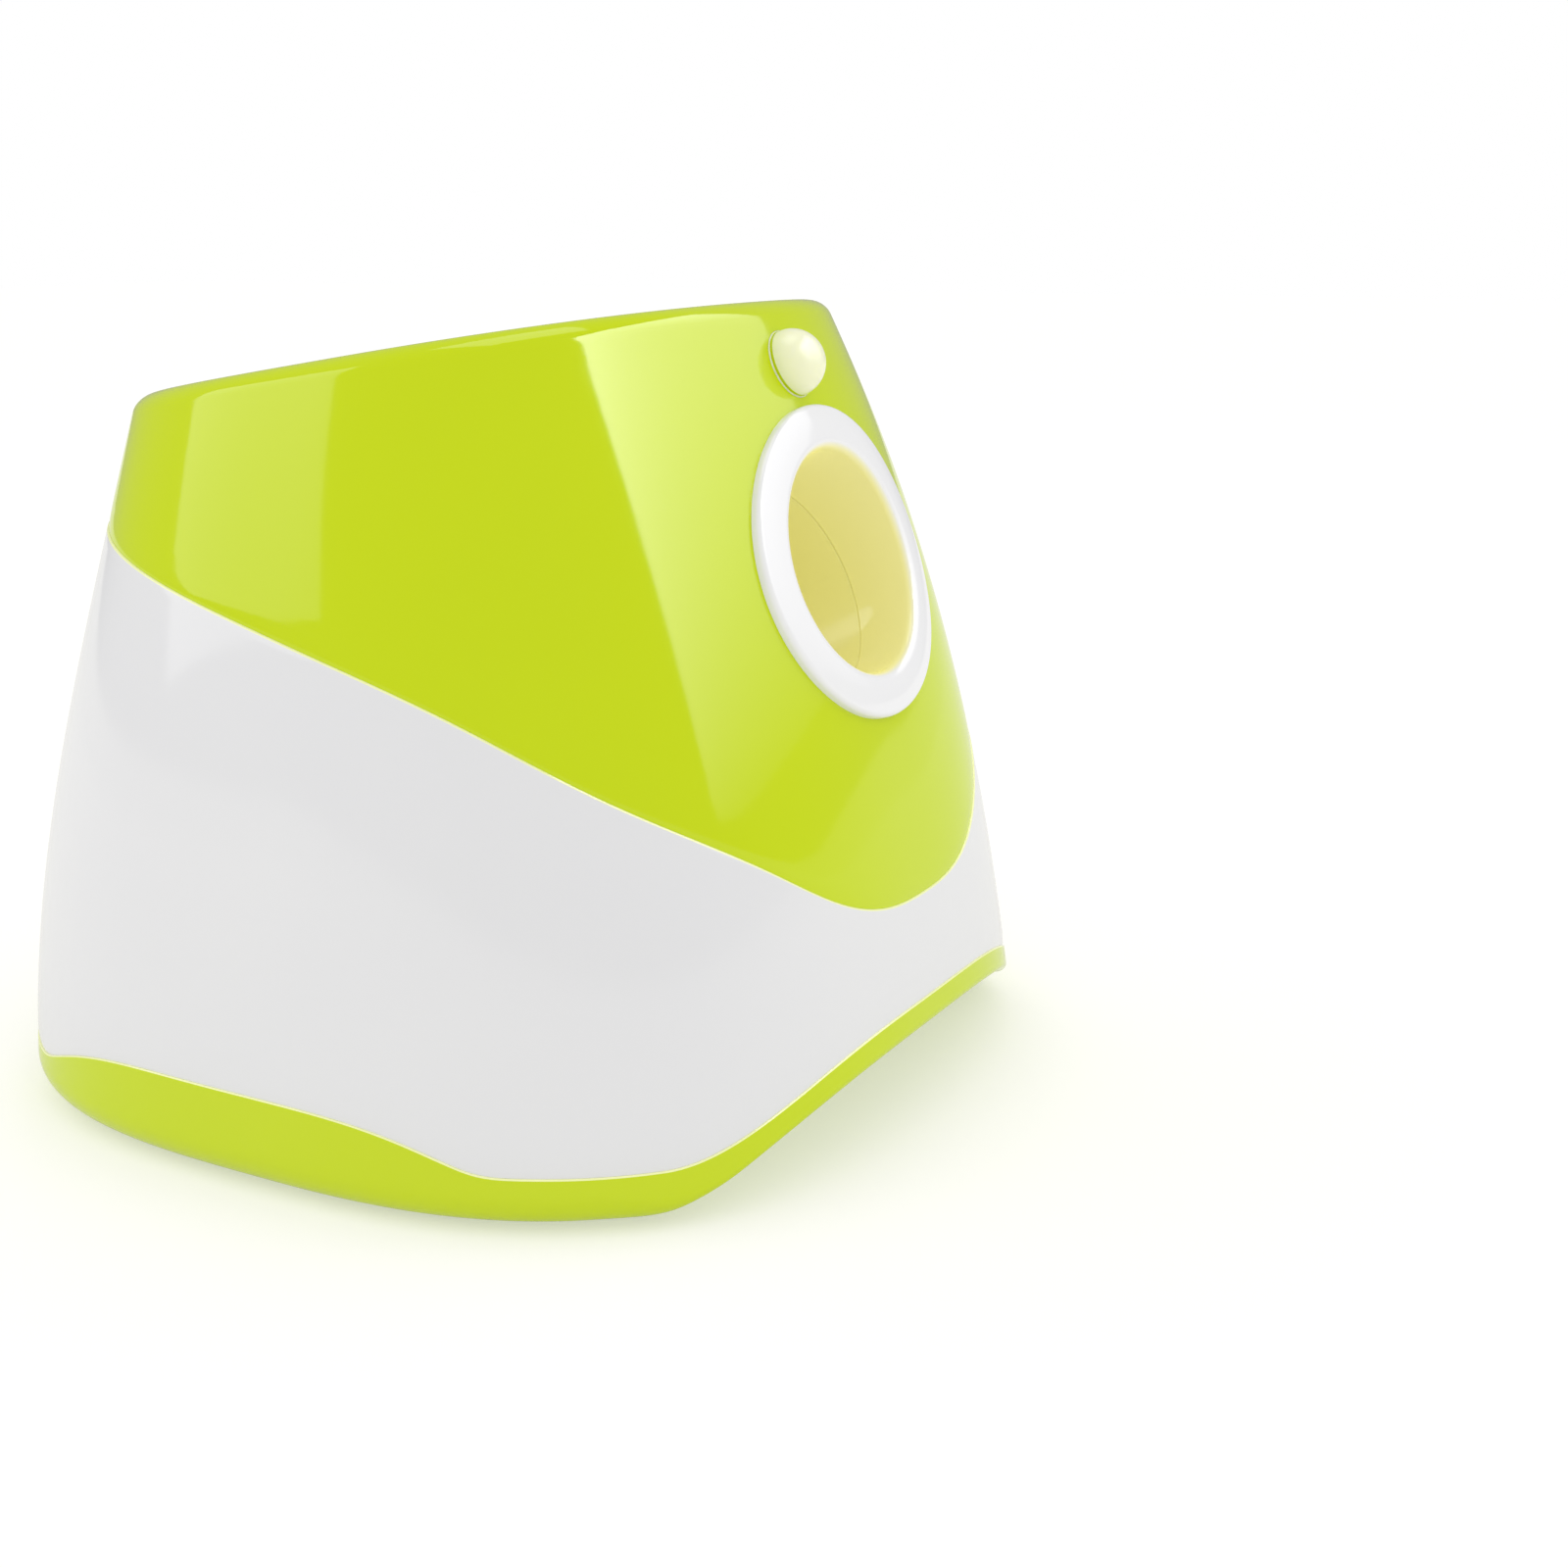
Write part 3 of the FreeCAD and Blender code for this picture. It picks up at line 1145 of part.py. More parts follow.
def finish():
    """Recompute, check every object and write one STEP file for each sub-part."""
    doc.recompute()
    for item in doc.Objects:
        if "Invalid" in item.State or "Error" in item.State:
            raise RuntimeError(f"{item.Name} failed to build: {item.State}")
    for item in PARTS:
        if item.Shape.isNull() or not item.Shape.isValid() or not item.Shape.Solids:
            raise RuntimeError(f"{item.Label} has no valid solid")
    os.makedirs("parts", exist_ok=True)
    for item in PARTS:
        item.Shape.exportStep(os.path.join("parts", f"{item.Label}.step"))
    print(f"{len(PARTS)} parts written")


build_all()
finish()
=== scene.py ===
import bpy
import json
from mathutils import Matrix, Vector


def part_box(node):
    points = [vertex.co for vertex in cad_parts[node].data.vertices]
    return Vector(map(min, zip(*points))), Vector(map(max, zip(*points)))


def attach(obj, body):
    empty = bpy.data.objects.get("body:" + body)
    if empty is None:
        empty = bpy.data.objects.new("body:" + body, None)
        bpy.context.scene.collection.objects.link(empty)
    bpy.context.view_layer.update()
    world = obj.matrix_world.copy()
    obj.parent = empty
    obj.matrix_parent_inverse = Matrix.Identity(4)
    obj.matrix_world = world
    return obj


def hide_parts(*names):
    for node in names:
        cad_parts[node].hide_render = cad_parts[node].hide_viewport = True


bl_info = {
    "name": "Dog ball launcher",
    "version": (1, 0, 0),
    "blender": (4, 5, 0),
    "location": "View3D > Sidebar > Ball Launcher",
    "description": "Shells, mouth ring, lens, fittings, materials and stage of a dog ball launcher",
    "category": "Add Mesh",
}

import json
import math

import bmesh
import bpy
import numpy as np
from mathutils import Matrix, Quaternion, Vector

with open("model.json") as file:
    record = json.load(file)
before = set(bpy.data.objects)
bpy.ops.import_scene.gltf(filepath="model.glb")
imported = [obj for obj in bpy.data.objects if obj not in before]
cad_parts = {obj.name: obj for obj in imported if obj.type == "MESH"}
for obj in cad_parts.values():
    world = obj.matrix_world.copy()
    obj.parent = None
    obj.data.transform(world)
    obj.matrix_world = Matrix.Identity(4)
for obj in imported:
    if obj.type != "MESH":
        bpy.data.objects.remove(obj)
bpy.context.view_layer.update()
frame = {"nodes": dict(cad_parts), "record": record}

# Lengths in this file are millimetres until a mesh is made; MM turns them to metres.
MM = 0.001
TURN = 2.0 * math.pi

# Housing: half width, front depth and back depth at four levels, as the moulds are drawn
LEVELS = (16.8, 84.0, 151.2, 210.0)
HALF = {
    "width": (133.8, 124.7, 111.8, 92.2),
    "front": (134.05, 123.8, 106.4, 84.3),
    "back": (134.05, 123.8, 104.2, 92.9),
}
BODY_HEIGHT = 210.0
FOOT_HEIGHT = 1.5
FRONT_POWER = (2.63, 2.40)
BACK_POWER = (3.05, 3.20)
RIM_SLOPE = math.tan(math.radians(9.25))
RIM_ROUND = 4.5
RIM_WIDTH = 13.5
RIM_THICK = 6.0
SHELL_WALL = 2.6
BASE_WALL = 3.0
RUNNER_FLOOR = 5.5
# seam between the top shell and the middle shell: distance back, height
SEAM_KNOTS = ((-147.5, 24.6), (-128.0, 62.6), (-113.3, 86.0), (-88.5, 106.0),
              (-50.9, 127.0), (0.0, 142.8), (72.4, 161.0), (154.2, 184.0))
# seam between the middle shell and the base: a hump along the front and one along each side
FRONT_HUMP = {"corner": 15.9, "rise": 19.6, "middle": 0.0, "half": 100.0, "bow": 3, "fall": 1.72}
SIDE_HUMP = {"corner": 14.4, "rise": 12.1, "middle": 11.5, "half": 85.0, "bow": 4, "fall": 1.7}
HUMP_CREASE, HUMP_DROP = 1.6, 0.4
ARCH_HEIGHT = 26.5
ARCH_HALF = 101.0
ARCH_POWER = 2.7
# launch mouth and bore
MOUTH = np.array([0.0, -105.0, 154.0])
BORE_ANGLE = math.radians(26.0)
RING_TILT = math.radians(20.0)
RING_RADIUS = 43.4
RING_BORE = 31.0
RING_PROUD = 2.6
RING_HOLE = 37.0
SLEEVE_END = 20.0
SLEEVE_WALL = 2.6
BORE_RADIUS = 30.5
THROAT_ALONG = 92.0
NECK_BACK = MOUTH[1] + THROAT_ALONG * math.cos(BORE_ANGLE)
THROAT_HEIGHT = 168.0
FUNNEL_START = 204.0
FUNNEL_POWER = 1.3
FUNNEL_GAP = 0.3
FUNNEL_WALL = 2.4
FUNNEL_FLANGE = 2.0
# fittings
LENS_HEIGHT, LENS_RADIUS, LENS_COLLAR, LENS_DOME = 206.0, 9.1, 1.0, 8.9
LENS_BEAD, LENS_SEAT, LENS_LIP, LENS_FLANGE = 0.4, 0.8, 1.8, 1.6
BUTTON_HEIGHT, BUTTON_RADIUS, BUTTON_PROUD, BUTTON_GAP = 128.0, 9.0, 2.0, 0.3
LIGHT_OFFSET, LIGHT_RADIUS, LIGHT_DEPTH = 18.0, 2.4, 10.4
INLET_TURN, INLET_HEIGHT, INLET_BEZEL, INLET_HOLE = math.radians(118.0), 48.0, 7.0, 4.7
FOOT_RADIUS, FOOT_TALL = 7.5, 2.7
FOOT_PLACES = [(sx * 110.0, sy * 46.0) for sx in (-1, 1) for sy in (-1, 1)]
WELL_RADIUS, WELL_TOP = 3.4, 4.7
WELL_PLACES = [(sx * 107.0, sy * 68.0) for sx in (-1, 1) for sy in (-1, 1)]
SCREW_HEAD, SCREW_HEIGHT, SCREW_SHANK = 3.0, 2.2, 1.5
HATCH_LOW = (-40.8, -125.3)
HATCH_HIGH = (40.8, -1.7)


# lamps: their distance in metres and the height that they face; camera: place in metres, angles
LAMP_REACH, LAMP_AIM = 1.25, 0.12
CAMERA_PLACE = (-0.50376, -0.36255, 0.24417)
CAMERA_YAW, CAMERA_PITCH, CAMERA_ROLL = (math.radians(a) for a in (-61.03, -15.11, -0.257))


# ------------------------------------------------------------------ shape of the housing

def level_value(name, z):
    """Cubic through the four levels' half sizes: a sum of each value times its Lagrange weight."""
    total = 0.0
    for i, value in enumerate(HALF[name]):
        term = value
        for j, level in enumerate(LEVELS):
            if j != i:
                term = term * (z - level) / (LEVELS[i] - level)
        total = total + term
    return total


def body_radius(turn, z, inset=0.0):
    """Superellipse: radius = (|cos / half width|^n + |sin / depth|^n)^(-1/n), n growing with height."""
    share = np.clip(z / BODY_HEIGHT, 0.0, 1.0)
    behind = np.sin(turn) >= 0
    power = np.where(behind, BACK_POWER[0] + (BACK_POWER[1] - BACK_POWER[0]) * share,
                     FRONT_POWER[0] + (FRONT_POWER[1] - FRONT_POWER[0]) * share)
    depth = np.where(behind, level_value("back", z), level_value("front", z)) - inset
    width = level_value("width", z) - inset
    across = np.abs(np.cos(turn) / width) ** power
    along = np.abs(np.sin(turn) / depth) ** power
    return (across + along) ** (-1.0 / power)


def skin(turn, z, inset=0.0):
    """Points of the skin: radius(turn, z) times (cos turn, sin turn), at height z."""
    reach = body_radius(turn, z, inset)
    return np.stack([reach * np.cos(turn), reach * np.sin(turn), z + 0.0 * reach], axis=-1)


def settle(turn, height, inset=0.0):
    """Height on the skin at which z equals height(x, y), by halving the interval 32 times."""
    low = np.full_like(turn, FOOT_HEIGHT)
    high = np.full_like(turn, 1.2 * BODY_HEIGHT)
    for _ in range(32):
        middle = 0.5 * (low + high)
        x, y, _z = np.moveaxis(skin(turn, middle, inset), -1, 0)
        above = middle > height(x, y)
        high = np.where(above, middle, high)
        low = np.where(above, low, middle)
    return 0.5 * (low + high)


def natural_spline(knots, count=3000):
    """Natural cubic spline through the knots, its parameter the chord length, sampled evenly."""
    knots = np.array(knots)
    along = np.concatenate([[0.0], np.cumsum(np.linalg.norm(np.diff(knots, axis=0), axis=1))])
    step = np.diff(along)
    system = np.eye(len(knots))
    right = np.zeros_like(knots)
    inner = np.arange(1, len(knots) - 1)
    system[inner, inner - 1] = step[:-1]
    system[inner, inner] = 2.0 * (step[:-1] + step[1:])
    system[inner, inner + 1] = step[1:]
    rates = np.diff(knots, axis=0) / step[:, None]
    right[inner] = 6.0 * (rates[1:] - rates[:-1])
    bend = np.linalg.solve(system, right)
    at = np.linspace(0.0, along[-1], count)
    span = np.clip(np.searchsorted(along, at, side="right") - 1, 0, len(step) - 1)
    length = step[span][:, None]
    ahead = (at - along[span])[:, None]
    behind = length - ahead
    return (bend[span] * behind ** 3 + bend[span + 1] * ahead ** 3) / (6.0 * length) \
        + (knots[span] / length - bend[span] * length / 6.0) * behind \
        + (knots[span + 1] / length - bend[span + 1] * length / 6.0) * ahead


SEAM = natural_spline(SEAM_KNOTS)


def upper_seam(x, y):
    """Height of the seam under the top shell, a curve that runs straight across."""
    return np.interp(y, SEAM[:, 0], SEAM[:, 1])


def smooth_max(a, b, width):
    """Larger of two heights, with the crease between them rounded over width."""
    return 0.5 * (a + b + np.sqrt((a - b) ** 2 + width ** 2))


def hump(at, corner, rise, middle, half, bow, fall):
    """Height of a hump: corner + rise (1 - |(at - middle) / half|^bow)^fall."""
    share = np.minimum(np.abs((at - middle) / half), 1.0)
    return corner + rise * (1.0 - share ** bow) ** fall


def lower_seam(x, y):
    """Height of the seam over the base: the higher of a front hump and a side hump."""
    return smooth_max(hump(x, **FRONT_HUMP), hump(y, **SIDE_HUMP), HUMP_CREASE) - HUMP_DROP


def arch(x):
    """Height of the tunnel under the base: height times (1 - |x / half|^power)."""
    return ARCH_HEIGHT * (1.0 - np.minimum(np.abs(x / ARCH_HALF), 1.25) ** ARCH_POWER)


def underside(x, y):
    return smooth_max(arch(x), FOOT_HEIGHT, 2.5) - 0.02


def inner_floor(x, y):
    return smooth_max(arch(x) + BASE_WALL, FOOT_HEIGHT + RUNNER_FLOOR, 1.0)


def steepness(points):
    """How much longer a seam is than its plan: sqrt(1 + slope^2), for gaps of even width."""
    change = np.roll(points, -1, axis=0) - np.roll(points, 1, axis=0)
    run = np.hypot(change[:, 0], change[:, 1])
    return np.sqrt(1.0 + (change[:, 2] / run) ** 2)


def quarter(steps):
    """Sine and cosine of evenly spaced angles from 0 to 90 degrees."""
    angle = np.linspace(0.0, math.pi / 2, steps)
    return list(zip(np.sin(angle), np.cos(angle)))


def between(first, last, steps):
    """Arrays that lead from first to last, both left out."""
    return [first + (last - first) * (i + 1) / (steps + 1) for i in range(steps)]


# ------------------------------------------------------------------ meshes and pieces

def grid_mesh(name, rows, closed=False, first_pole=None, last_pole=None):
    """Mesh of a grid: rows of points, each a closed loop, joined in order; a pole closes an end."""
    rows = np.asarray(rows, float)
    count, around = rows.shape[:2]
    points = rows.reshape(-1, 3)
    row, column = np.meshgrid(np.arange(count if closed else count - 1), np.arange(around),
                              indexing="ij")
    after = (row + 1) % count
    beside = (column + 1) % around
    quads = np.stack([row * around + column, row * around + beside,
                      after * around + beside, after * around + column], axis=-1).reshape(-1, 4)
    faces = quads.tolist()
    turn = np.arange(around)
    for pole, start in ((first_pole, 0), (last_pole, (count - 1) * around)):
        if pole is not None:
            tip = np.full(around, len(points))
            points = np.vstack([points, pole])
            fan = np.stack([start + turn, start + (turn + 1) % around, tip], axis=-1)
            faces += (fan[:, ::-1] if start == 0 else fan).tolist()
    mesh = bpy.data.meshes.new(name)
    mesh.from_pydata((points * MM).tolist(), [], faces)
    return outward(mesh)


def outward(mesh):
    """Point the faces of a closed mesh outwards and shade it smooth."""
    shape = bmesh.new()
    shape.from_mesh(mesh)
    bmesh.ops.recalc_face_normals(shape, faces=shape.faces)
    shape.to_mesh(mesh)
    shape.free()
    mesh.shade_smooth()
    return mesh


def revolve(name, profile, place, steps=96):
    """Profile of (radius, height) pairs carried round the axis of a place; ends on the axis close."""
    angle = np.linspace(0.0, TURN, steps, endpoint=False)
    rows = []
    poles = [None, None]
    for number, (radius, height) in enumerate(profile):
        if radius <= 0.0:
            poles[0 if number == 0 else 1] = place_points(place, np.array([[0.0, 0.0, height]]))[0]
            continue
        ring = np.stack([radius * np.cos(angle), radius * np.sin(angle),
                         np.full(steps, height)], axis=-1)
        rows.append(place_points(place, ring))
    closed = poles[0] is None and poles[1] is None
    return grid_mesh(name, rows, closed, *poles)


def place_points(place, points):
    """Points of a local frame (origin, x, y, z axes) in the launcher's frame."""
    origin, axes = place
    return origin + points @ axes


def skin_place(turn, z):
    """Frame on the skin whose own z is the outward normal and whose x is level."""
    step = 0.01
    sideways = skin(np.array(turn + step), np.array(z)) - skin(np.array(turn - step), np.array(z))
    upwards = skin(np.array(turn), np.array(z + 0.5)) - skin(np.array(turn), np.array(z - 0.5))
    normal = np.cross(sideways, upwards)
    normal /= np.linalg.norm(normal)
    level = np.cross([0.0, 0.0, 1.0], normal)
    level /= np.linalg.norm(level)
    return skin(np.array(turn), np.array(z)), np.stack([level, np.cross(normal, level), normal])


def upright(x, y, z=0.0):
    return np.array([x, y, z]), np.eye(3)


def joined(name, meshes):
    """One mesh of several closed ones."""
    shape = bmesh.new()
    for mesh in meshes:
        shape.from_mesh(mesh)
        bpy.data.meshes.remove(mesh)
    result = bpy.data.meshes.new(name)
    shape.to_mesh(result)
    shape.free()
    result.shade_smooth()
    return result


def rod(radius, low, high, place):
    return revolve("rod", [(0.0, low), (radius, low), (radius, high), (0.0, high)], place, 72)


def block(low, high):
    """Box between two corners."""
    shape = bmesh.new()
    bmesh.ops.create_cube(shape, size=1.0)
    low, high = np.array(low, float), np.array(high, float)
    middle, spread = (low + high) / 2 * MM, (high - low) * MM
    shape.transform(Matrix.Translation(Vector(middle)) @ Matrix.Diagonal(Vector((*spread, 1.0))))
    mesh = bpy.data.meshes.new("block")
    shape.to_mesh(mesh)
    shape.free()
    return mesh


def mark_seam_highlight(mesh, first, last, around):
    """Mark the faces between two rows of a grid mesh as the edge that a seam leaves in sight, where the
    shell's material lays a painted highlight.
    """
    marks = np.zeros(len(mesh.polygons), np.float32)
    marks[first * around:last * around] = 1.0
    mesh.attributes.new(SEAM_HIGHLIGHT_ATTRIBUTE, "FLOAT", "FACE").data.foreach_set("value", marks)
    return mesh


def carve(mesh, tools):
    """Cut openings out of a shell: an exact boolean difference, one tool after another."""
    piece = bpy.data.objects.new("shell", mesh)
    bpy.context.collection.objects.link(piece)
    cutters = []
    for tool in tools:
        cutter = bpy.data.objects.new("cutter", tool)
        bpy.context.collection.objects.link(cutter)
        cutters.append(cutter)
        modifier = piece.modifiers.new("opening", "BOOLEAN")
        modifier.operation = "DIFFERENCE"
        modifier.solver = "EXACT"
        modifier.object = cutter
    bpy.context.view_layer.update()
    graph = bpy.context.evaluated_depsgraph_get()
    result = bpy.data.meshes.new_from_object(piece.evaluated_get(graph))
    for item in (piece, *cutters):
        data = item.data
        bpy.data.objects.remove(item)
        bpy.data.meshes.remove(data)
    result.shade_smooth()
    return result


# ------------------------------------------------------------------ materials

def linear(text):
    """An sRGB hex colour as the linear RGBA that Blender's sockets take."""
    values = [int(text[i:i + 2], 16) / 255.0 for i in (1, 3, 5)]
    return [v / 12.92 if v <= 0.04045 else ((v + 0.055) / 1.055) ** 2.4 for v in values] + [1.0]


def add_node(tree, kind, inputs=None, **settings):
    """Add a node, set its properties, and give its inputs values or links."""
    item = tree.nodes.new(kind)
    for key, value in settings.items():
        setattr(item, key, value)
    for key, value in (inputs or {}).items():
        if isinstance(value, bpy.types.NodeSocket):
            tree.links.new(value, item.inputs[key])
        else:
            item.inputs[key].default_value = value
    return item


def start_material(name):
    material = bpy.data.materials.new(name)
    material.use_nodes = True
    tree = material.node_tree
    tree.nodes.clear()
    where = add_node(tree, "ShaderNodeTexCoord").outputs["Object"]
    return material, tree, where


def end_material(material, tree, inputs):
    shader = add_node(tree, "ShaderNodeBsdfPrincipled", inputs)
    add_node(tree, "ShaderNodeOutputMaterial", {"Surface": shader.outputs["BSDF"]})
    return material


def per_metre(size_mm):
    """Noise scale whose blotches are about that many millimetres across."""
    return 1.0 / (size_mm * MM)


def spread(tree, factor, low, high):
    """Map a 0 to 1 pattern to the range low to high."""
    return add_node(tree, "ShaderNodeMapRange", {"Value": factor, "To Min": low, "To Max": high}
                    ).outputs["Result"]


def tinted(tree, factor, first, second):
    """Colour that drifts between two near tones along a pattern."""
    mix = add_node(tree, "ShaderNodeMix", {"Factor": factor}, data_type="RGBA")
    mix.inputs[6].default_value = first
    mix.inputs[7].default_value = second
    return mix.outputs[2]


# tone of the bore, and its painted glow: an emission, though the bore is no lamp, that stands in for light
# coming through its thin wall from the lime shells
BORE_TONE = "#E6E2AE"
BORE_PAINTED_GLOW = "#D4CD6B"
PAINTED_GLOW_LEVEL = 0.22
# painted highlight on a seam's bare edge: its pale colour, and the attribute that marks its faces
SEAM_PAINTED_HIGHLIGHT = "#F6FAB8"
SEAM_HIGHLIGHT_ATTRIBUTE = "seam_painted_highlight"


def moulded_plastic(name, colour, shade, roughness, ior=1.50, ripple=2.5, ripple_height=0.004,
                    translucent=0.0, glow=None):
    """Injection-moulded plastic: the flow of the melt gives a faint drift of colour, the tool's
    polish a fine ripple a few millimetres long, and handling uneven gloss."""
    material, tree, where = start_material(name)
    flow = add_node(tree, "ShaderNodeTexNoise",
                    {"Vector": where, "Scale": per_metre(60.0), "Detail": 2.0}).outputs["Fac"]
    smudge = add_node(tree, "ShaderNodeTexNoise",
                      {"Vector": where, "Scale": per_metre(14.0), "Detail": 3.0}).outputs["Fac"]
    fine = add_node(tree, "ShaderNodeTexNoise",
                    {"Vector": where, "Scale": per_metre(ripple), "Detail": 1.0}).outputs["Fac"]
    bump = add_node(tree, "ShaderNodeBump", {"Height": fine, "Strength": 1.0,
                                             "Distance": ripple_height * MM}).outputs["Normal"]
    inputs = {"Base Color": tinted(tree, flow, linear(colour), linear(shade)),
              "Roughness": spread(tree, smudge, roughness * 0.75, roughness * 1.35),
              "Normal": bump, "IOR": ior}
    if translucent:
        inputs["Subsurface Weight"] = translucent
        inputs["Subsurface Radius"] = (0.004, 0.004, 0.0025)
        inputs["Subsurface Scale"] = 1.0
    # glow is painted light: an emission from the plastic, though it is no lamp
    if glow:
        inputs["Emission Color"], inputs["Emission Strength"] = linear(glow), PAINTED_GLOW_LEVEL
    return end_material(material, tree, inputs)


def lay_over(material, factor, colour):
    """Lay a colour over a plastic's own where the factor is 1, and give its shader."""
    tree = material.node_tree
    shader = next(item for item in tree.nodes if item.type == "BSDF_PRINCIPLED")
    own = shader.inputs["Base Color"].links[0].from_socket
    tone = add_node(tree, "ShaderNodeMix", {"Factor": factor, 6: own}, data_type="RGBA")
    tone.inputs[7].default_value = linear(colour)
    tree.links.new(tone.outputs[2], shader.inputs["Base Color"])
    return shader


def shell_plastic(name, colour, shade, roughness):
    """Gloss ABS of a shell, with a painted highlight: a pale colour laid on the rounded edge that a seam
    leaves in sight, in place of the light that the edge would catch."""
    material = moulded_plastic(name, colour, shade, roughness)
    edge = add_node(material.node_tree, "ShaderNodeAttribute", attribute_name=SEAM_HIGHLIGHT_ATTRIBUTE)
    lay_over(material, edge.outputs["Fac"], SEAM_PAINTED_HIGHLIGHT)
    return material


def mouth_plastic(name, tones):
    """White gloss ABS of the mouth ring, whose sleeve takes on the bore's warm tone and the bore's painted
    glow.
    Distance from the bore's axis = sqrt(|p|^2 - (p . axis)^2), with p counted from the mouth."""
    # the ring's white is lighter than the shell's white: painted light for the softbox light that the ring
    # catches
    material = moulded_plastic(name, tones.ring, tones.ring_shade, tones.gloss)
    tree = material.node_tree
    where = add_node(tree, "ShaderNodeTexCoord").outputs["Object"]
    back = (0.0, math.cos(BORE_ANGLE), -math.sin(BORE_ANGLE))
    offset = add_node(tree, "ShaderNodeVectorMath", {0: where, 1: (MOUTH * MM).tolist()},
                      operation="SUBTRACT").outputs["Vector"]
    along = add_node(tree, "ShaderNodeVectorMath", {0: offset, 1: back},
                     operation="DOT_PRODUCT").outputs["Value"]
    reach = add_node(tree, "ShaderNodeVectorMath", {0: offset},
                     operation="LENGTH").outputs["Value"]
    squares = [add_node(tree, "ShaderNodeMath", {0: value, 1: 2.0}, operation="POWER").outputs[0]
               for value in (reach, along)]
    across = add_node(tree, "ShaderNodeMath", {0: squares[0], 1: squares[1]},
                      operation="SUBTRACT").outputs[0]
    across = add_node(tree, "ShaderNodeMath", {0: across}, operation="SQRT").outputs[0]
    inside = add_node(tree, "ShaderNodeMapRange",
                      {"Value": across, "From Min": (RING_BORE + 1.2) * MM,
                       "From Max": (RING_BORE + 0.1) * MM}).outputs["Result"]
    shader = lay_over(material, inside, BORE_TONE)
    # painted glow: the sleeve gives out light in the bore's glow colour, rising to the glow level towards
    # the bore, though it is no lamp
    shader.inputs["Emission Color"].default_value = linear(BORE_PAINTED_GLOW)
    glow = spread(tree, inside, 0.0, PAINTED_GLOW_LEVEL)
    tree.links.new(glow, shader.inputs["Emission Strength"])
    return material


def lens_plastic(name, tones):
    """Milky polyethylene that lets the sensor see out; its clear collar, between 0.2 and 0.9 mm
    above the skin, shows the lime of the shell behind it."""
    material = moulded_plastic(name, "#FBFDE0", "#F3F7CB", 0.22, 1.51, 4.0, 0.003, 0.6)
    tree = material.node_tree
    where = add_node(tree, "ShaderNodeTexCoord").outputs["Object"]
    origin, axes = skin_place(-math.pi / 2, LENS_HEIGHT)
    height = add_node(tree, "ShaderNodeVectorMath", {0: where, 1: axes[2].tolist()},
                      operation="DOT_PRODUCT").outputs["Value"]
    collar = add_node(tree, "ShaderNodeMath", {0: height, 1: float(origin @ axes[2] + 0.55) * MM,
                                               2: 0.35 * MM}, operation="COMPARE").outputs[0]
    lay_over(material, collar, tones.lime)
    return material


def worked_metal(name, colour, roughness, grain=0.4, stretch=(1.0, 1.0, 12.0)):
    """Metal with the fine drawn or turned grain of its making, lengthwise streaks of gloss."""
    material, tree, where = start_material(name)
    along = add_node(tree, "ShaderNodeMapping", {"Vector": where, "Scale": stretch}).outputs[0]
    streak = add_node(tree, "ShaderNodeTexNoise",
                      {"Vector": along, "Scale": per_metre(grain * 8), "Detail": 4.0}).outputs["Fac"]
    bump = add_node(tree, "ShaderNodeBump", {"Height": streak, "Distance": 0.01 * MM,
                                             "Strength": 0.6}).outputs["Normal"]
    shade = [0.82 * v for v in linear(colour)[:3]] + [1.0]
    return end_material(material, tree, {
        "Base Color": tinted(tree, streak, shade, linear(colour)), "Metallic": 1.0,
        "Roughness": spread(tree, streak, roughness * 0.8, roughness * 1.3), "Normal": bump})


def moulded_rubber(name, colour, shade):
    """Soft rubber: matt, with a fine grained skin that scatters light at grazing angles."""
    material, tree, where = start_material(name)
    grain = add_node(tree, "ShaderNodeTexVoronoi",
                     {"Vector": where, "Scale": per_metre(0.9)}).outputs["Distance"]
    bump = add_node(tree, "ShaderNodeBump", {"Height": grain, "Distance": 0.06 * MM,
                                             "Strength": 0.7}).outputs["Normal"]
    return end_material(material, tree, {
        "Base Color": tinted(tree, grain, linear(shade), linear(colour)), "Roughness": 0.78,
        "Normal": bump, "IOR": 1.52, "Sheen Weight": 0.15, "Sheen Roughness": 0.4})


def circuit_laminate(name):
    """Glass-epoxy board: green solder mask over copper, which shows as lighter tracks."""
    material, tree, where = start_material(name)
    tracks = add_node(tree, "ShaderNodeTexBrick",
                      {"Vector": where, "Scale": per_metre(9.0), "Mortar Size": 0.07,
                       "Color1": linear("#0E5A2C"), "Color2": linear("#0E5A2C"),
                       "Mortar": linear("#2C8446")})
    bump = add_node(tree, "ShaderNodeBump", {"Height": tracks.outputs["Fac"],
                                             "Distance": 0.04 * MM}).outputs["Normal"]
    return end_material(material, tree, {"Base Color": tracks.outputs["Color"], "Roughness": 0.35,
                                         "Normal": bump, "IOR": 1.55})


def printed_sleeve(name):
    """Shrink sleeve of a dry cell: glossy film in two plain bands."""
    material, tree, where = start_material(name)
    split = add_node(tree, "ShaderNodeSeparateXYZ", {"Vector": where}).outputs["Y"]
    band = add_node(tree, "ShaderNodeMath", {0: split, 1: per_metre(50.6)},
                    operation="MULTIPLY").outputs[0]
    share = add_node(tree, "ShaderNodeMath", {0: band}, operation="FRACT").outputs[0]
    edge = add_node(tree, "ShaderNodeMath", {0: share, 1: 0.35},
                    operation="GREATER_THAN").outputs[0]
    return end_material(material, tree, {
        "Base Color": tinted(tree, edge, linear("#B9783A"), linear("#23262B")),
        "Roughness": 0.22, "IOR": 1.5})


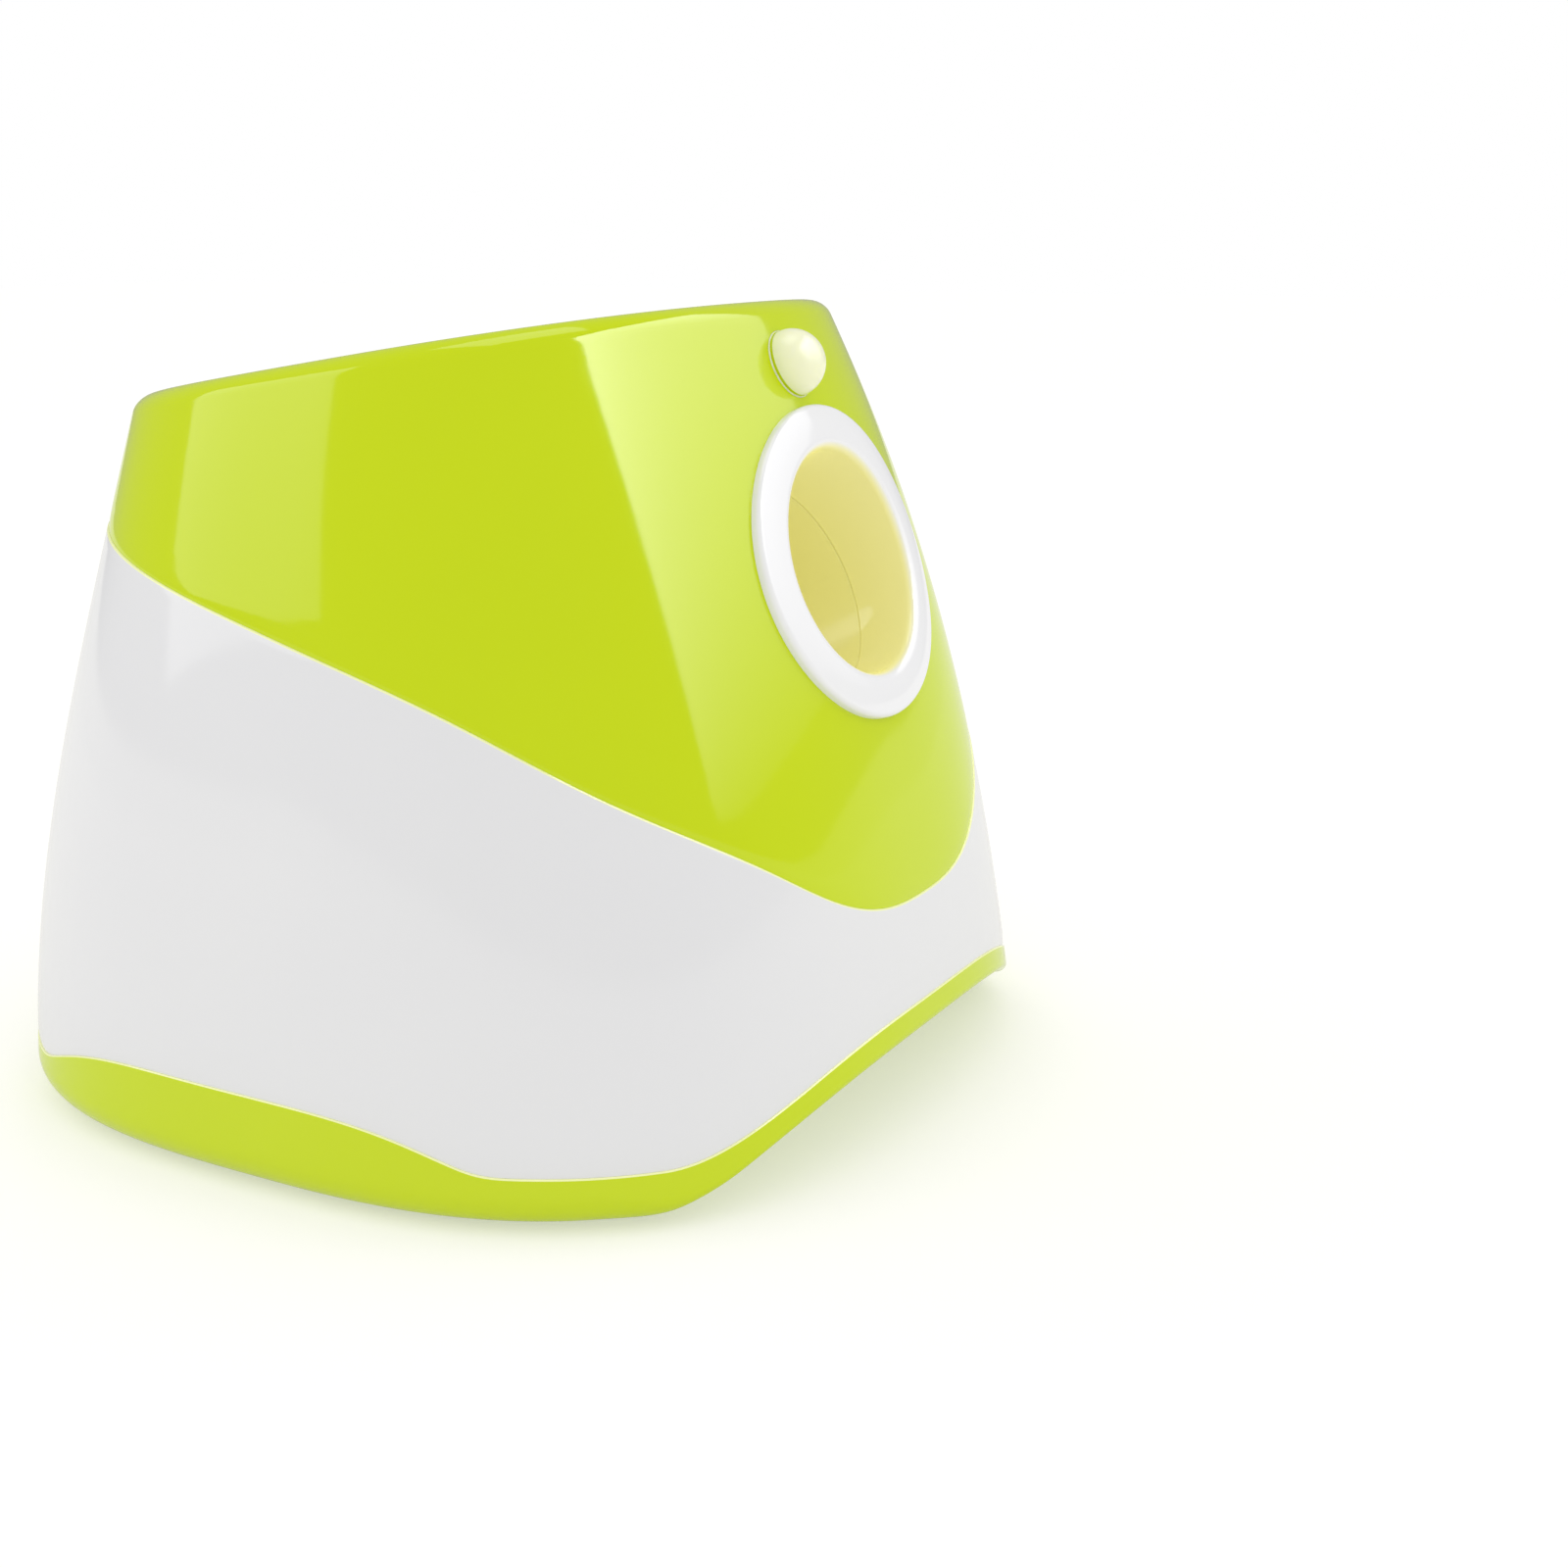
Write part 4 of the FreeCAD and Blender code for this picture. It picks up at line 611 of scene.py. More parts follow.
def make_materials(tones):
    """One material for each slot of the record, named for what the maker would order."""
    return {
        # high-gloss ABS from a mirror-polished tool: sharp softbox reflections, and a painted highlight on
        # the seams' bare edges
        "lime_gloss": shell_plastic("lime gloss ABS", tones.lime, tones.lime_shade, tones.gloss),
        "white_gloss": shell_plastic("white gloss ABS", tones.white, tones.white_shade,
                                     tones.gloss * 1.25),
        # unpigmented ABS with a painted warm glow: an emission that stands in for light coming through the
        # shells
        "barrel_cream": moulded_plastic("natural ABS", BORE_TONE, "#E2DEA4", 0.2, glow=BORE_PAINTED_GLOW),
        "mouth_white": mouth_plastic("white and natural ABS", tones),
        "lens_translucent": lens_plastic("translucent polyethylene", tones),
        # ABS from a spark-eroded tool: satin
        "grey_plastic": moulded_plastic("grey satin ABS", "#8D9092", "#838688", 0.42, 1.5, 0.6,
                                        0.02),
        "black_plastic": moulded_plastic("black nylon", "#1B1C1E", "#232427", 0.4, 1.53, 0.7,
                                         0.015),
        "gear_plastic": moulded_plastic("natural acetal", "#E9E4D2", "#DFD9C3", 0.3, 1.48, 1.2,
                                        0.006),
        "piston_plastic": moulded_plastic("natural nylon", "#DDDBD0", "#D4D2C6", 0.36, 1.53, 0.9,
                                          0.01),
        "rubber_dark": moulded_rubber("black thermoplastic rubber", "#1D1E1F", "#121313"),
        "steel_plain": worked_metal("zinc-plated steel", "#B9BDC2", 0.28),
        "spring_steel": worked_metal("drawn spring steel", "#8F9296", 0.34, 0.2),
        "board_green": circuit_laminate("glass-epoxy laminate"),
        "contact_metal": worked_metal("nickel-plated brass", "#D8C48A", 0.25),
        "cell_wrap": printed_sleeve("shrink-film sleeve"),
    }


# ------------------------------------------------------------------ the shells

def edge_rows(turn, height, steep, gap, radius):
    """Rounded upper edge of the lower piece at a seam, from the skin in to the parting face.
    Inset = r (1 - sin a), height = seam - (gap + r (1 - cos a)) times the steepness."""
    return [skin(turn, height - (gap + radius * (1.0 - cos)) * steep, radius * (1.0 - sin))
            for sin, cos in quarter(6)][::-1]


def drawn_rows(turn, height, steep, gap, step):
    """Lower end of the upper piece at a seam: the skin draws in by step, so that the edge below
    it catches the light. Inset = step exp(-rise / 2), rise in mm above the seam."""
    rises = (0.0, 0.4, 0.9, 1.5, 2.3, 3.4, 5.0, 7.5)
    return [skin(turn, height + (gap + rise) * steep, step * math.exp(-0.5 * rise))
            for rise in rises]


def rim_row(turn, inset, drop):
    """Loop that lies a given drop under the sloping rim plane."""
    z = settle(turn, lambda x, y: BODY_HEIGHT - RIM_SLOPE * y - drop, inset)
    return skin(turn, z, inset)


def wall_rows(turn, first, last, inset, steps):
    """Loops of the skin drawn in by inset, from heights first to heights last."""
    return [skin(turn, z, inset) for z in between(first, last, steps)]


def top_shell_mesh(turn, settings):
    """Closed section carried round: seam edge, skin, rim fillet, rim, inner wall, parting face."""
    gap, radius = settings.seam_gap / MM, settings.seam_round / MM
    seam = settle(turn, upper_seam)
    steep = steepness(skin(turn, seam))
    low = seam + gap * steep
    rows = drawn_rows(turn, seam, steep, gap, radius)
    rim_start = rim_row(turn, 0.0, RIM_ROUND)
    rows += wall_rows(turn, rows[-1][:, 2], rim_start[:, 2], 0.0, 64)
    rows += [rim_row(turn, RIM_ROUND * (1.0 - cos), RIM_ROUND * (1.0 - sin))
             for sin, cos in quarter(10)]
    lip = 1.2
    rows += [rim_row(turn, inset, 0.0) for inset in between(RIM_ROUND, RIM_WIDTH - lip, 3)]
    rows += [rim_row(turn, RIM_WIDTH - lip + lip * sin, lip * (1.0 - cos))
             for sin, cos in quarter(6)]
    rows += [rim_row(turn, RIM_WIDTH, drop) for drop in (0.5 * RIM_THICK, RIM_THICK)]
    rows += [rim_row(turn, inset, RIM_THICK) for inset in (0.5 * RIM_WIDTH, SHELL_WALL)]
    rows += wall_rows(turn, rows[-1][:, 2], low, SHELL_WALL, 20)
    rows += [skin(turn, low, SHELL_WALL), skin(turn, low, 0.5 * SHELL_WALL)]
    return grid_mesh("top_shell_skin", rows, True)


def middle_shell_mesh(turn, settings):
    """Closed section carried round: base seam edge, skin, upper seam edge, inner wall."""
    gap, radius = settings.seam_gap / MM, settings.seam_round / MM
    seam, base = settle(turn, upper_seam), settle(turn, lower_seam)
    steep, base_steep = steepness(skin(turn, seam)), steepness(skin(turn, base))
    high, low = seam - gap * steep, base + gap * base_steep
    rows = drawn_rows(turn, base, base_steep, gap, radius)
    upper = edge_rows(turn, seam, steep, gap, radius)
    rows += wall_rows(turn, rows[-1][:, 2], upper[0][:, 2], 0.0, 72)
    # the rows of the upper seam's edge get the painted highlight
    start = len(rows)
    rows += upper
    rows += [skin(turn, high, inset) for inset in (0.5 * SHELL_WALL, SHELL_WALL)]
    rows += wall_rows(turn, high, low, SHELL_WALL, 24)
    rows += [skin(turn, low, inset) for inset in (SHELL_WALL, 0.5 * SHELL_WALL)]
    mesh = grid_mesh("middle_shell_skin", rows, True)
    return mark_seam_highlight(mesh, start, start + len(upper) - 1, len(turn))


def corner_radius(turn):
    """Rounding under the base's edge: small along the arch, large along the runners."""
    x = skin(turn, np.full_like(turn, 10.0))[:, 0]
    share = np.clip((np.abs(x) - 84.0) / 30.0, 0.0, 1.0)
    return 3.0 + 7.0 * share * share * (3.0 - 2.0 * share)


def under_row(turn, inset, rise):
    """Loop a given rise above the underside, drawn in from the skin by inset."""
    z = settle(turn, lambda x, y: underside(x, y) + rise, inset)
    return skin(turn, z, inset)


def base_mesh(turn, settings):
    """Section from the middle of the underside out, up the skin, and back over the inner floor."""
    gap, radius = settings.seam_gap / MM, settings.seam_round / MM
    base = settle(turn, lower_seam)
    steep = steepness(skin(turn, base))
    high = base - gap * steep
    corner = corner_radius(turn)
    edge = [under_row(turn, corner * (1.0 - cos), corner * (1.0 - sin)) for sin, cos in quarter(12)]
    edge = edge[::-1]
    reach = np.hypot(edge[0][:, 0], edge[0][:, 1])
    rows = [plan_row(turn, reach * share, underside) for share in np.linspace(0.02, 0.98, 48)]
    rows += edge
    upper = edge_rows(turn, base, steep, gap, radius)
    rows += wall_rows(turn, rows[-1][:, 2], upper[0][:, 2], 0.0, 12)
    # the rows of the base's upper edge get the painted highlight
    start = len(rows)
    rows += upper
    rows += [skin(turn, high, inset) for inset in (0.5 * BASE_WALL, BASE_WALL)]
    floor = settle(turn, inner_floor, BASE_WALL)
    rows += wall_rows(turn, high, floor, BASE_WALL, 6)
    rows.append(skin(turn, floor, BASE_WALL))
    reach = np.hypot(rows[-1][:, 0], rows[-1][:, 1])
    rows += [plan_row(turn, reach * share, inner_floor) for share in np.linspace(0.97, 0.03, 36)]
    poles = [np.array([0.0, 0.0, height(0.0, 0.0)]) for height in (underside, inner_floor)]
    mesh = grid_mesh("base_skin", rows, False, *poles)
    return mark_seam_highlight(mesh, start, start + len(upper) - 1, len(turn))


def plan_row(turn, reach, height):
    """Loop at a given plan radius, lying on a height field."""
    x, y = reach * np.cos(turn), reach * np.sin(turn)
    return np.stack([x, y, height(x, y)], axis=-1)


def funnel_mesh(turn):
    """Bowl whose outline blends from the rim's shape to the round throat:
    radius = (1 - b) body + b throat, centre = b neck, b = depth^power."""
    slope_top = 0.4

    def loop(z, inset, throat):
        share = np.clip((FUNNEL_START - z) / (FUNNEL_START - THROAT_HEIGHT), 0.0, 1.0)
        share = share ** FUNNEL_POWER
        reach = (1.0 - share) * body_radius(turn, z, inset) + share * throat
        return np.stack([reach * np.cos(turn), share * NECK_BACK + reach * np.sin(turn), z], axis=-1)

    outer_inset = RIM_WIDTH + FUNNEL_GAP
    inner_inset = outer_inset + FUNNEL_WALL
    lip = 0.8
    low = np.full_like(turn, THROAT_HEIGHT)
    inside_top = rim_row(turn, inner_inset, slope_top + lip)[:, 2]
    rows = [loop(low, inner_inset, BORE_RADIUS)]
    rows += [loop(z, inner_inset, BORE_RADIUS) for z in between(low, inside_top, 56)]
    rows += [rim_row(turn, inner_inset - lip * (1.0 - cos), slope_top + lip * (1.0 - sin))
             for sin, cos in quarter(5)]
    rows += [rim_row(turn, outer_inset + lip * (1.0 - sin), slope_top + lip * (1.0 - cos))
             for sin, cos in quarter(5)]
    flange_out = SHELL_WALL + FUNNEL_GAP
    rows += [rim_row(turn, outer_inset, RIM_THICK), rim_row(turn, flange_out, RIM_THICK),
             rim_row(turn, flange_out, RIM_THICK + FUNNEL_FLANGE),
             rim_row(turn, outer_inset, RIM_THICK + FUNNEL_FLANGE)]
    throat = BORE_RADIUS + FUNNEL_WALL
    start = rows[-1][:, 2]
    rows += [loop(z, outer_inset, throat) for z in between(start, low, 40)]
    rows.append(loop(low, outer_inset, throat))
    return grid_mesh("funnel_skin", rows, True)


# ------------------------------------------------------------------ mouth ring and fittings

def ring_axes():
    """Axes of the ring's own plane: across, up in the plane, and out of it."""
    up = np.array([0.0, math.sin(RING_TILT), math.cos(RING_TILT)])
    out = np.array([0.0, -math.cos(RING_TILT), math.sin(RING_TILT)])
    return np.stack([np.array([1.0, 0.0, 0.0]), up, out])


def rise_to_skin(points, direction):
    """Distance from each point to the skin along a direction, by halving the interval."""
    low = np.full(points.shape[:-1], -30.0)
    high = np.full(points.shape[:-1], 30.0)
    for _ in range(30):
        middle = 0.5 * (low + high)
        at = points + middle[..., None] * direction
        turn = np.arctan2(at[..., 1], at[..., 0])
        outside = np.hypot(at[..., 0], at[..., 1]) > body_radius(turn, at[..., 2])
        high = np.where(outside, middle, high)
        low = np.where(outside, low, middle)
    return 0.5 * (low + high)


def ring_mesh():
    """Lip bent to the skin, its section a flat-topped round, and a sleeve back to the barrel."""
    angle = np.linspace(0.0, TURN, 192, endpoint=False)
    across, up, out = ring_axes()
    back = np.array([0.0, math.cos(BORE_ANGLE), -math.sin(BORE_ANGLE)])
    spoke = np.cos(angle)[:, None] * across + np.sin(angle)[:, None] * up

    def on_skin(radius, proud):
        flat = MOUTH + radius * spoke
        return flat + (rise_to_skin(flat, out) + proud)[:, None] * out

    def sleeve(radius, depth):
        """Circle at a depth along the bore, drawn from the lip's own circle."""
        start = on_skin(radius, 0.0)
        travel = (start - MOUTH) @ back
        return start + (depth - travel)[:, None] * back

    outer_round, inner_round, tuck, crown = 1.5, 3.0, 0.4, 0.35
    rows = [on_skin(RING_RADIUS, -tuck)]
    rows += [on_skin(RING_RADIUS - outer_round * (1.0 - cos), RING_PROUD - outer_round * (1.0 - sin))
             for sin, cos in quarter(8)]
    inner_start = RING_BORE + inner_round
    width = RING_RADIUS - outer_round - inner_start
    rows += [on_skin(RING_RADIUS - outer_round - width * share,
                     RING_PROUD + crown * math.sin(math.pi * share) * 0.5)
             for share in np.linspace(0.1, 0.9, 7)]
    rows += [on_skin(inner_start - inner_round * sin, RING_PROUD - inner_round * (1.0 - cos))
             for sin, cos in quarter(10)]
    mouth_edge = rows[-1]
    travel = (mouth_edge - MOUTH) @ back
    sleeve_end = SLEEVE_END - 0.3
    rows += [mouth_edge + (share * (sleeve_end - travel))[:, None] * back
             for share in np.linspace(0.1, 1.0, 12)]
    rows.append(sleeve(RING_BORE + SLEEVE_WALL, sleeve_end))
    rows.append(on_skin(RING_BORE + SLEEVE_WALL, -SHELL_WALL))
    rows.append(on_skin(RING_BORE + SLEEVE_WALL, -tuck))
    rows.append(on_skin(RING_HOLE + 3.0, -tuck))
    return grid_mesh("mouth_ring", rows, True)


def dome(radius, height, base, steps=14):
    """Profile of a spherical cap from its edge up to the axis."""
    ball = (radius ** 2 + height ** 2) / (2.0 * height)
    angle = np.linspace(math.asin(radius / ball), 0.0, steps)
    return [(ball * math.sin(a), base + height - ball + ball * math.cos(a)) for a in angle[:-1]] \
        + [(0.0, base + height)]


def rounded(radius, high, edge, steps=6):
    """Profile round the outer top edge of a disc."""
    return [(radius - edge * (1.0 - cos), high - edge * (1.0 - sin)) for sin, cos in quarter(steps)]


def lens_mesh():
    """Flanged plug with a fine bead on the skin, a short collar, and a dome."""
    place = skin_place(-math.pi / 2, LENS_HEIGHT)
    back = -SHELL_WALL - LENS_SEAT
    lip = LENS_RADIUS + LENS_LIP
    bead = LENS_RADIUS + LENS_BEAD
    profile = [(0.0, back - LENS_FLANGE), (lip, back - LENS_FLANGE), (lip, back), (bead, back), (bead, -0.1)]
    profile += rounded(bead, 0.2, 0.2, 4) + [(LENS_RADIUS, 0.2), (LENS_RADIUS, LENS_COLLAR)]
    profile += dome(LENS_RADIUS, LENS_DOME, LENS_COLLAR, 24)
    return revolve("lens_cover", profile, place, 128)


def button_mesh():
    """Push button: flange behind the wall, rounded cap with a shallow dish for the finger."""
    place = skin_place(math.pi / 2, BUTTON_HEIGHT)
    stem, stem_end, flange, thick = 2.0, -7.0, BUTTON_RADIUS + 2.0, 2.2
    flange_top = -SHELL_WALL - 2.0 * BUTTON_GAP
    flange_low = flange_top - thick
    profile = [(0.0, stem_end), (stem, stem_end), (stem, flange_low), (flange, flange_low),
               (flange, flange_top), (BUTTON_RADIUS, flange_top)]
    profile += rounded(BUTTON_RADIUS, BUTTON_PROUD, 1.0)
    dish, sunk = 6.6, 0.7
    edge = BUTTON_PROUD - 0.08
    profile += [(dish + 0.6, BUTTON_PROUD), (dish, edge)]
    profile += [(dish * share, edge - sunk * (1.0 - share ** 2))
                for share in np.linspace(0.9, 0.1, 8)]
    profile += [(0.0, edge - sunk)]
    return revolve("push_button", profile, place, 96)


def light_mesh():
    """Light pipe with a domed end flush in the wall."""
    origin, axes = skin_place(math.pi / 2, BUTTON_HEIGHT)
    place = (origin + LIGHT_OFFSET * axes[0], axes)
    profile = [(0.0, -LIGHT_DEPTH), (LIGHT_RADIUS, -LIGHT_DEPTH), (LIGHT_RADIUS, -0.1)]
    profile += dome(LIGHT_RADIUS, 0.5, -0.1, 8)
    return revolve("light_pipe", profile, place, 48)


def feet_mesh():
    """Four rubber discs with a rounded lower edge and a shallow hollow underneath."""
    hollow, edge = 0.5, 0.9
    flat = FOOT_RADIUS - edge
    profile = [(0.0, hollow), (4.6, hollow), (5.0, 0.1), (5.3, 0.0), (flat, 0.0)]
    profile += [(flat + edge * sin, edge * (1.0 - cos)) for sin, cos in quarter(5)][1:]
    profile += [(FOOT_RADIUS, FOOT_TALL), (0.0, FOOT_TALL)]
    return joined("feet", [revolve("foot", profile, upright(x, y), 64) for x, y in FOOT_PLACES])


def screw_mesh(name, places, length):
    """Pan-head screws: domed head with a cross recess, and a plain shank.
    The recess is sunk where min(|x|, |y|) < slot within reach of the axis."""
    steps = 96
    sunk, slot, reach, crown_drop = 0.9, 0.45, 1.8, 0.9
    angle = np.linspace(0.0, TURN, steps, endpoint=False)
    meshes = []
    for x0, y0, z0 in places:
        rows = []
        for radius in (0.2, 0.42, 0.48, 0.8, 1.2, 1.6, 1.75, 1.85, 2.2, 2.6, 2.85, 3.0):
            x, y = radius * np.cos(angle), radius * np.sin(angle)
            crown = -SCREW_HEIGHT + crown_drop * (radius / SCREW_HEAD) ** 3.0
            cross = (np.minimum(np.abs(x), np.abs(y)) < slot) & (radius < reach)
            z = z0 + crown + np.where(cross, sunk, 0.0)
            rows.append(np.stack([x0 + x, y0 + y, z], axis=-1))
        for radius, z in ((SCREW_HEAD, 0.0), (SCREW_SHANK, 0.0), (SCREW_SHANK, length)):
            rows.append(np.stack([x0 + radius * np.cos(angle), y0 + radius * np.sin(angle),
                                  np.full(steps, z0 + z)], axis=-1))
        poles = (np.array([x0, y0, z0 - SCREW_HEIGHT + sunk]), np.array([x0, y0, z0 + length]))
        meshes.append(grid_mesh("screw", rows, False, *poles))
    return joined(name, meshes)


# ------------------------------------------------------------------ settings

def length_prop(name, value, text):
    return bpy.props.FloatProperty(name=name, default=value, min=0.0, description=text,
                                   subtype="DISTANCE", unit="LENGTH", precision=5)


def text_prop(name, value, text):
    return bpy.props.StringProperty(name=name, default=value, description=text)


class LauncherShape(bpy.types.PropertyGroup):
    """Sizes of the moulded shells that a user would change."""
    seam_gap: length_prop("Seam gap", 0.00001, "Half the gap between two shells at a seam")
    seam_round: length_prop("Seam rounding", 0.0004, "Radius of the shells' edges at a seam")
    around: bpy.props.IntProperty(name="Steps around", default=480, min=48,
                                  description="Points in each loop round the housing")


class LauncherTones(bpy.types.PropertyGroup):
    """Colours and gloss of the mouldings."""
    lime: text_prop("Lime", "#CADD00", "sRGB colour of the lime shells")
    lime_shade: text_prop("Lime drift", "#C7DA00", "Tone that the lime drifts to")
    white: text_prop("White", "#E7E7E9", "sRGB colour of the white shell")
    white_shade: text_prop("White drift", "#E4E4E7", "Tone that the white drifts to")
    # the ring's whites are lighter than the shell's: painted light for the softbox light that the ring
    # catches
    ring: text_prop("Ring white", "#F2F2F4", "sRGB colour of the mouth ring")
    ring_shade: text_prop("Ring drift", "#EFEFF2", "Tone that the ring's white drifts to")
    gloss: bpy.props.FloatProperty(name="Roughness", default=0.07, min=0.0, max=1.0,
                                   subtype="FACTOR", description="Roughness of the gloss shells")


class LauncherStage(bpy.types.PropertyGroup):
    """Lamps, floor and camera."""
    key: bpy.props.FloatProperty(name="Front softbox", default=9.0, min=0.0,
                                 description="Radiance of the large softbox before the mouth")
    strip: bpy.props.FloatProperty(name="Rear softbox", default=1.9, min=0.0,
                                   description="Radiance of the narrow softbox beside the back")
    top: bpy.props.FloatProperty(name="Overhead softbox", default=1.6, min=0.0,
                                 description="Radiance of the softbox overhead")
    fill: bpy.props.FloatProperty(name="Fill", default=0.35, min=0.0,
                                  description="Radiance of the two lamps that only fill")
    room: bpy.props.FloatProperty(name="Room light", default=1.0, min=0.0,
                                  description="Even light from the white room")
    mirror: bpy.props.FloatProperty(name="Room in reflections", default=0.4, min=0.0,
                                    description="Brightness of the room in glossy reflections")
    lens: bpy.props.FloatProperty(name="Focal length", default=48.217, min=1.0, unit="CAMERA",
                                  description="Camera lens on a 36 mm wide sensor")


# ------------------------------------------------------------------ operators

class LauncherOperator(bpy.types.Operator):
    """Base of the launcher's operators: finds the shared settings and materials."""
    bl_idname = "launcher.base"
    bl_label = "Launcher piece"
    materials = {}

    def execute(self, context):
        self.build(context.scene)
        return {"FINISHED"}

    def build(self, scene):
        raise NotImplementedError("each piece has its own build")

    def turns(self, scene):
        return np.linspace(0.0, TURN, scene.launcher_shape.around, endpoint=False)

    def show(self, name, mesh, slot, node, body="housing", material=None, sharp=40.0):
        """Link a finished mesh as a piece that rides on a body and stands for its CAD node."""
        mesh.name = name
        mesh.materials.clear()
        mesh.materials.append(self.materials[material or slot])
        mesh.set_sharp_from_angle(angle=math.radians(sharp))
        piece = bpy.data.objects.new(name, mesh)
        bpy.context.collection.objects.link(piece)
        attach(piece, body)
        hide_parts(node)


class PaintNodes(LauncherOperator):
    """Make the materials and give every CAD node the one that its slot names"""
    bl_idname = "launcher.paint_nodes"
    bl_label = "Materials"

    def build(self, scene):
        LauncherOperator.materials.update(make_materials(scene.launcher_tones))
        for row in frame["record"]["subparts"]:
            mesh = frame["nodes"][row["node"]].data
            mesh.materials.clear()
            mesh.materials.append(self.materials[row["material_slot"]])
        frame["nodes"]["barrel"].data.materials[0] = self.materials["barrel_cream"]


class AddTopShell(LauncherOperator):
    """Add the lime top shell with its rim and the openings for ring and lens"""
    bl_idname = "launcher.add_top_shell"
    bl_label = "Top shell"

    def build(self, scene):
        mesh = top_shell_mesh(self.turns(scene), scene.launcher_shape)
        tools = [rod(RING_HOLE, -30.0, 30.0, (MOUTH, ring_axes())),
                 rod(LENS_RADIUS + LENS_BEAD + 0.05, -8.0, 8.0,
                     skin_place(-math.pi / 2, LENS_HEIGHT))]
        self.show("top_shell_skin", carve(mesh, tools), "lime_gloss", "top_shell")


class AddMiddleShell(LauncherOperator):
    """Add the white middle shell with the openings of the control panel and the inlet"""
    bl_idname = "launcher.add_middle_shell"
    bl_label = "Middle shell"

    def build(self, scene):
        mesh = middle_shell_mesh(self.turns(scene), scene.launcher_shape)
        panel = skin_place(math.pi / 2, BUTTON_HEIGHT)
        beside = (panel[0] + LIGHT_OFFSET * panel[1][0], panel[1])
        inlet = skin_place(INLET_TURN, INLET_HEIGHT)
        tools = [rod(BUTTON_RADIUS + BUTTON_GAP, -8.0, 8.0, panel),
                 rod(LIGHT_RADIUS + 0.1, -8.0, 8.0, beside),
                 rod(INLET_BEZEL + 0.2, 0.1, 8.0, inlet),
                 rod(INLET_HOLE, -12.0, 8.0, inlet)]
        self.show("middle_shell_skin", carve(mesh, tools), "white_gloss", "middle_shell")


class AddBase(LauncherOperator):
    """Add the lime base with its arch, the battery hatch, foot sockets and screw wells"""
    bl_idname = "launcher.add_base"
    bl_label = "Base"

    def build(self, scene):
        mesh = base_mesh(self.turns(scene), scene.launcher_shape)
        tools = [block((*HATCH_LOW, 0.0), (*HATCH_HIGH, 60.0))]
        tools += [rod(FOOT_RADIUS + 0.1, -1.0, FOOT_TALL, upright(x, y)) for x, y in FOOT_PLACES]
        tools += [rod(WELL_RADIUS, -1.0, WELL_TOP, upright(x, y)) for x, y in WELL_PLACES]
        self.show("base_skin", carve(mesh, tools), "lime_gloss", "base")


class AddFunnel(LauncherOperator):
    """Add the funnel that leads the balls from the rim to the barrel"""
    bl_idname = "launcher.add_funnel"
    bl_label = "Funnel"

    def build(self, scene):
        self.show("funnel_skin", funnel_mesh(self.turns(scene)), "lime_gloss", "ball_funnel")


class AddMouthRing(LauncherOperator):
    """Add the white lip round the launch mouth with its sleeve"""
    bl_idname = "launcher.add_mouth_ring"
    bl_label = "Mouth ring"

    def build(self, scene):
        self.show("mouth_ring", ring_mesh(), "white_gloss", "launch_ring", material="mouth_white")


class AddFittings(LauncherOperator):
    """Add the lens, the push button, the light pipe, the feet and the screws underneath"""
    bl_idname = "launcher.add_fittings"
    bl_label = "Fittings"

    def build(self, scene):
        self.show("lens_cover", lens_mesh(), "lens_translucent", "sensor_lens")
        self.show("push_button", button_mesh(), "grey_plastic", "power_button", "button")
        self.show("light_pipe", light_mesh(), "lens_translucent", "status_light")
        self.show("rubber_pads", feet_mesh(), "rubber_dark", "rubber_feet")
        wells = [(x, y, FOOT_HEIGHT + BASE_WALL + SCREW_HEIGHT) for x, y in WELL_PLACES]
        low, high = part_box("door_screws")
        door = [(0.0, y, ARCH_HEIGHT) for y in (low.y / MM + SCREW_HEAD, high.y / MM - SCREW_HEAD)]
        low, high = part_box("cradle_screws")
        middle = (low.y + high.y) / 2 / MM
        cradle = [(x, middle, ARCH_HEIGHT)
                  for x in (low.x / MM + SCREW_HEAD, high.x / MM - SCREW_HEAD)]
        for kind, places, length in (("base", wells, 30.0), ("door", door, 9.0),
                                     ("cradle", cradle, 14.0)):
            mesh = screw_mesh(kind, places, length)
            self.show(kind + "_screw_heads", mesh, "steel_plain", kind + "_screws", sharp=30.0)


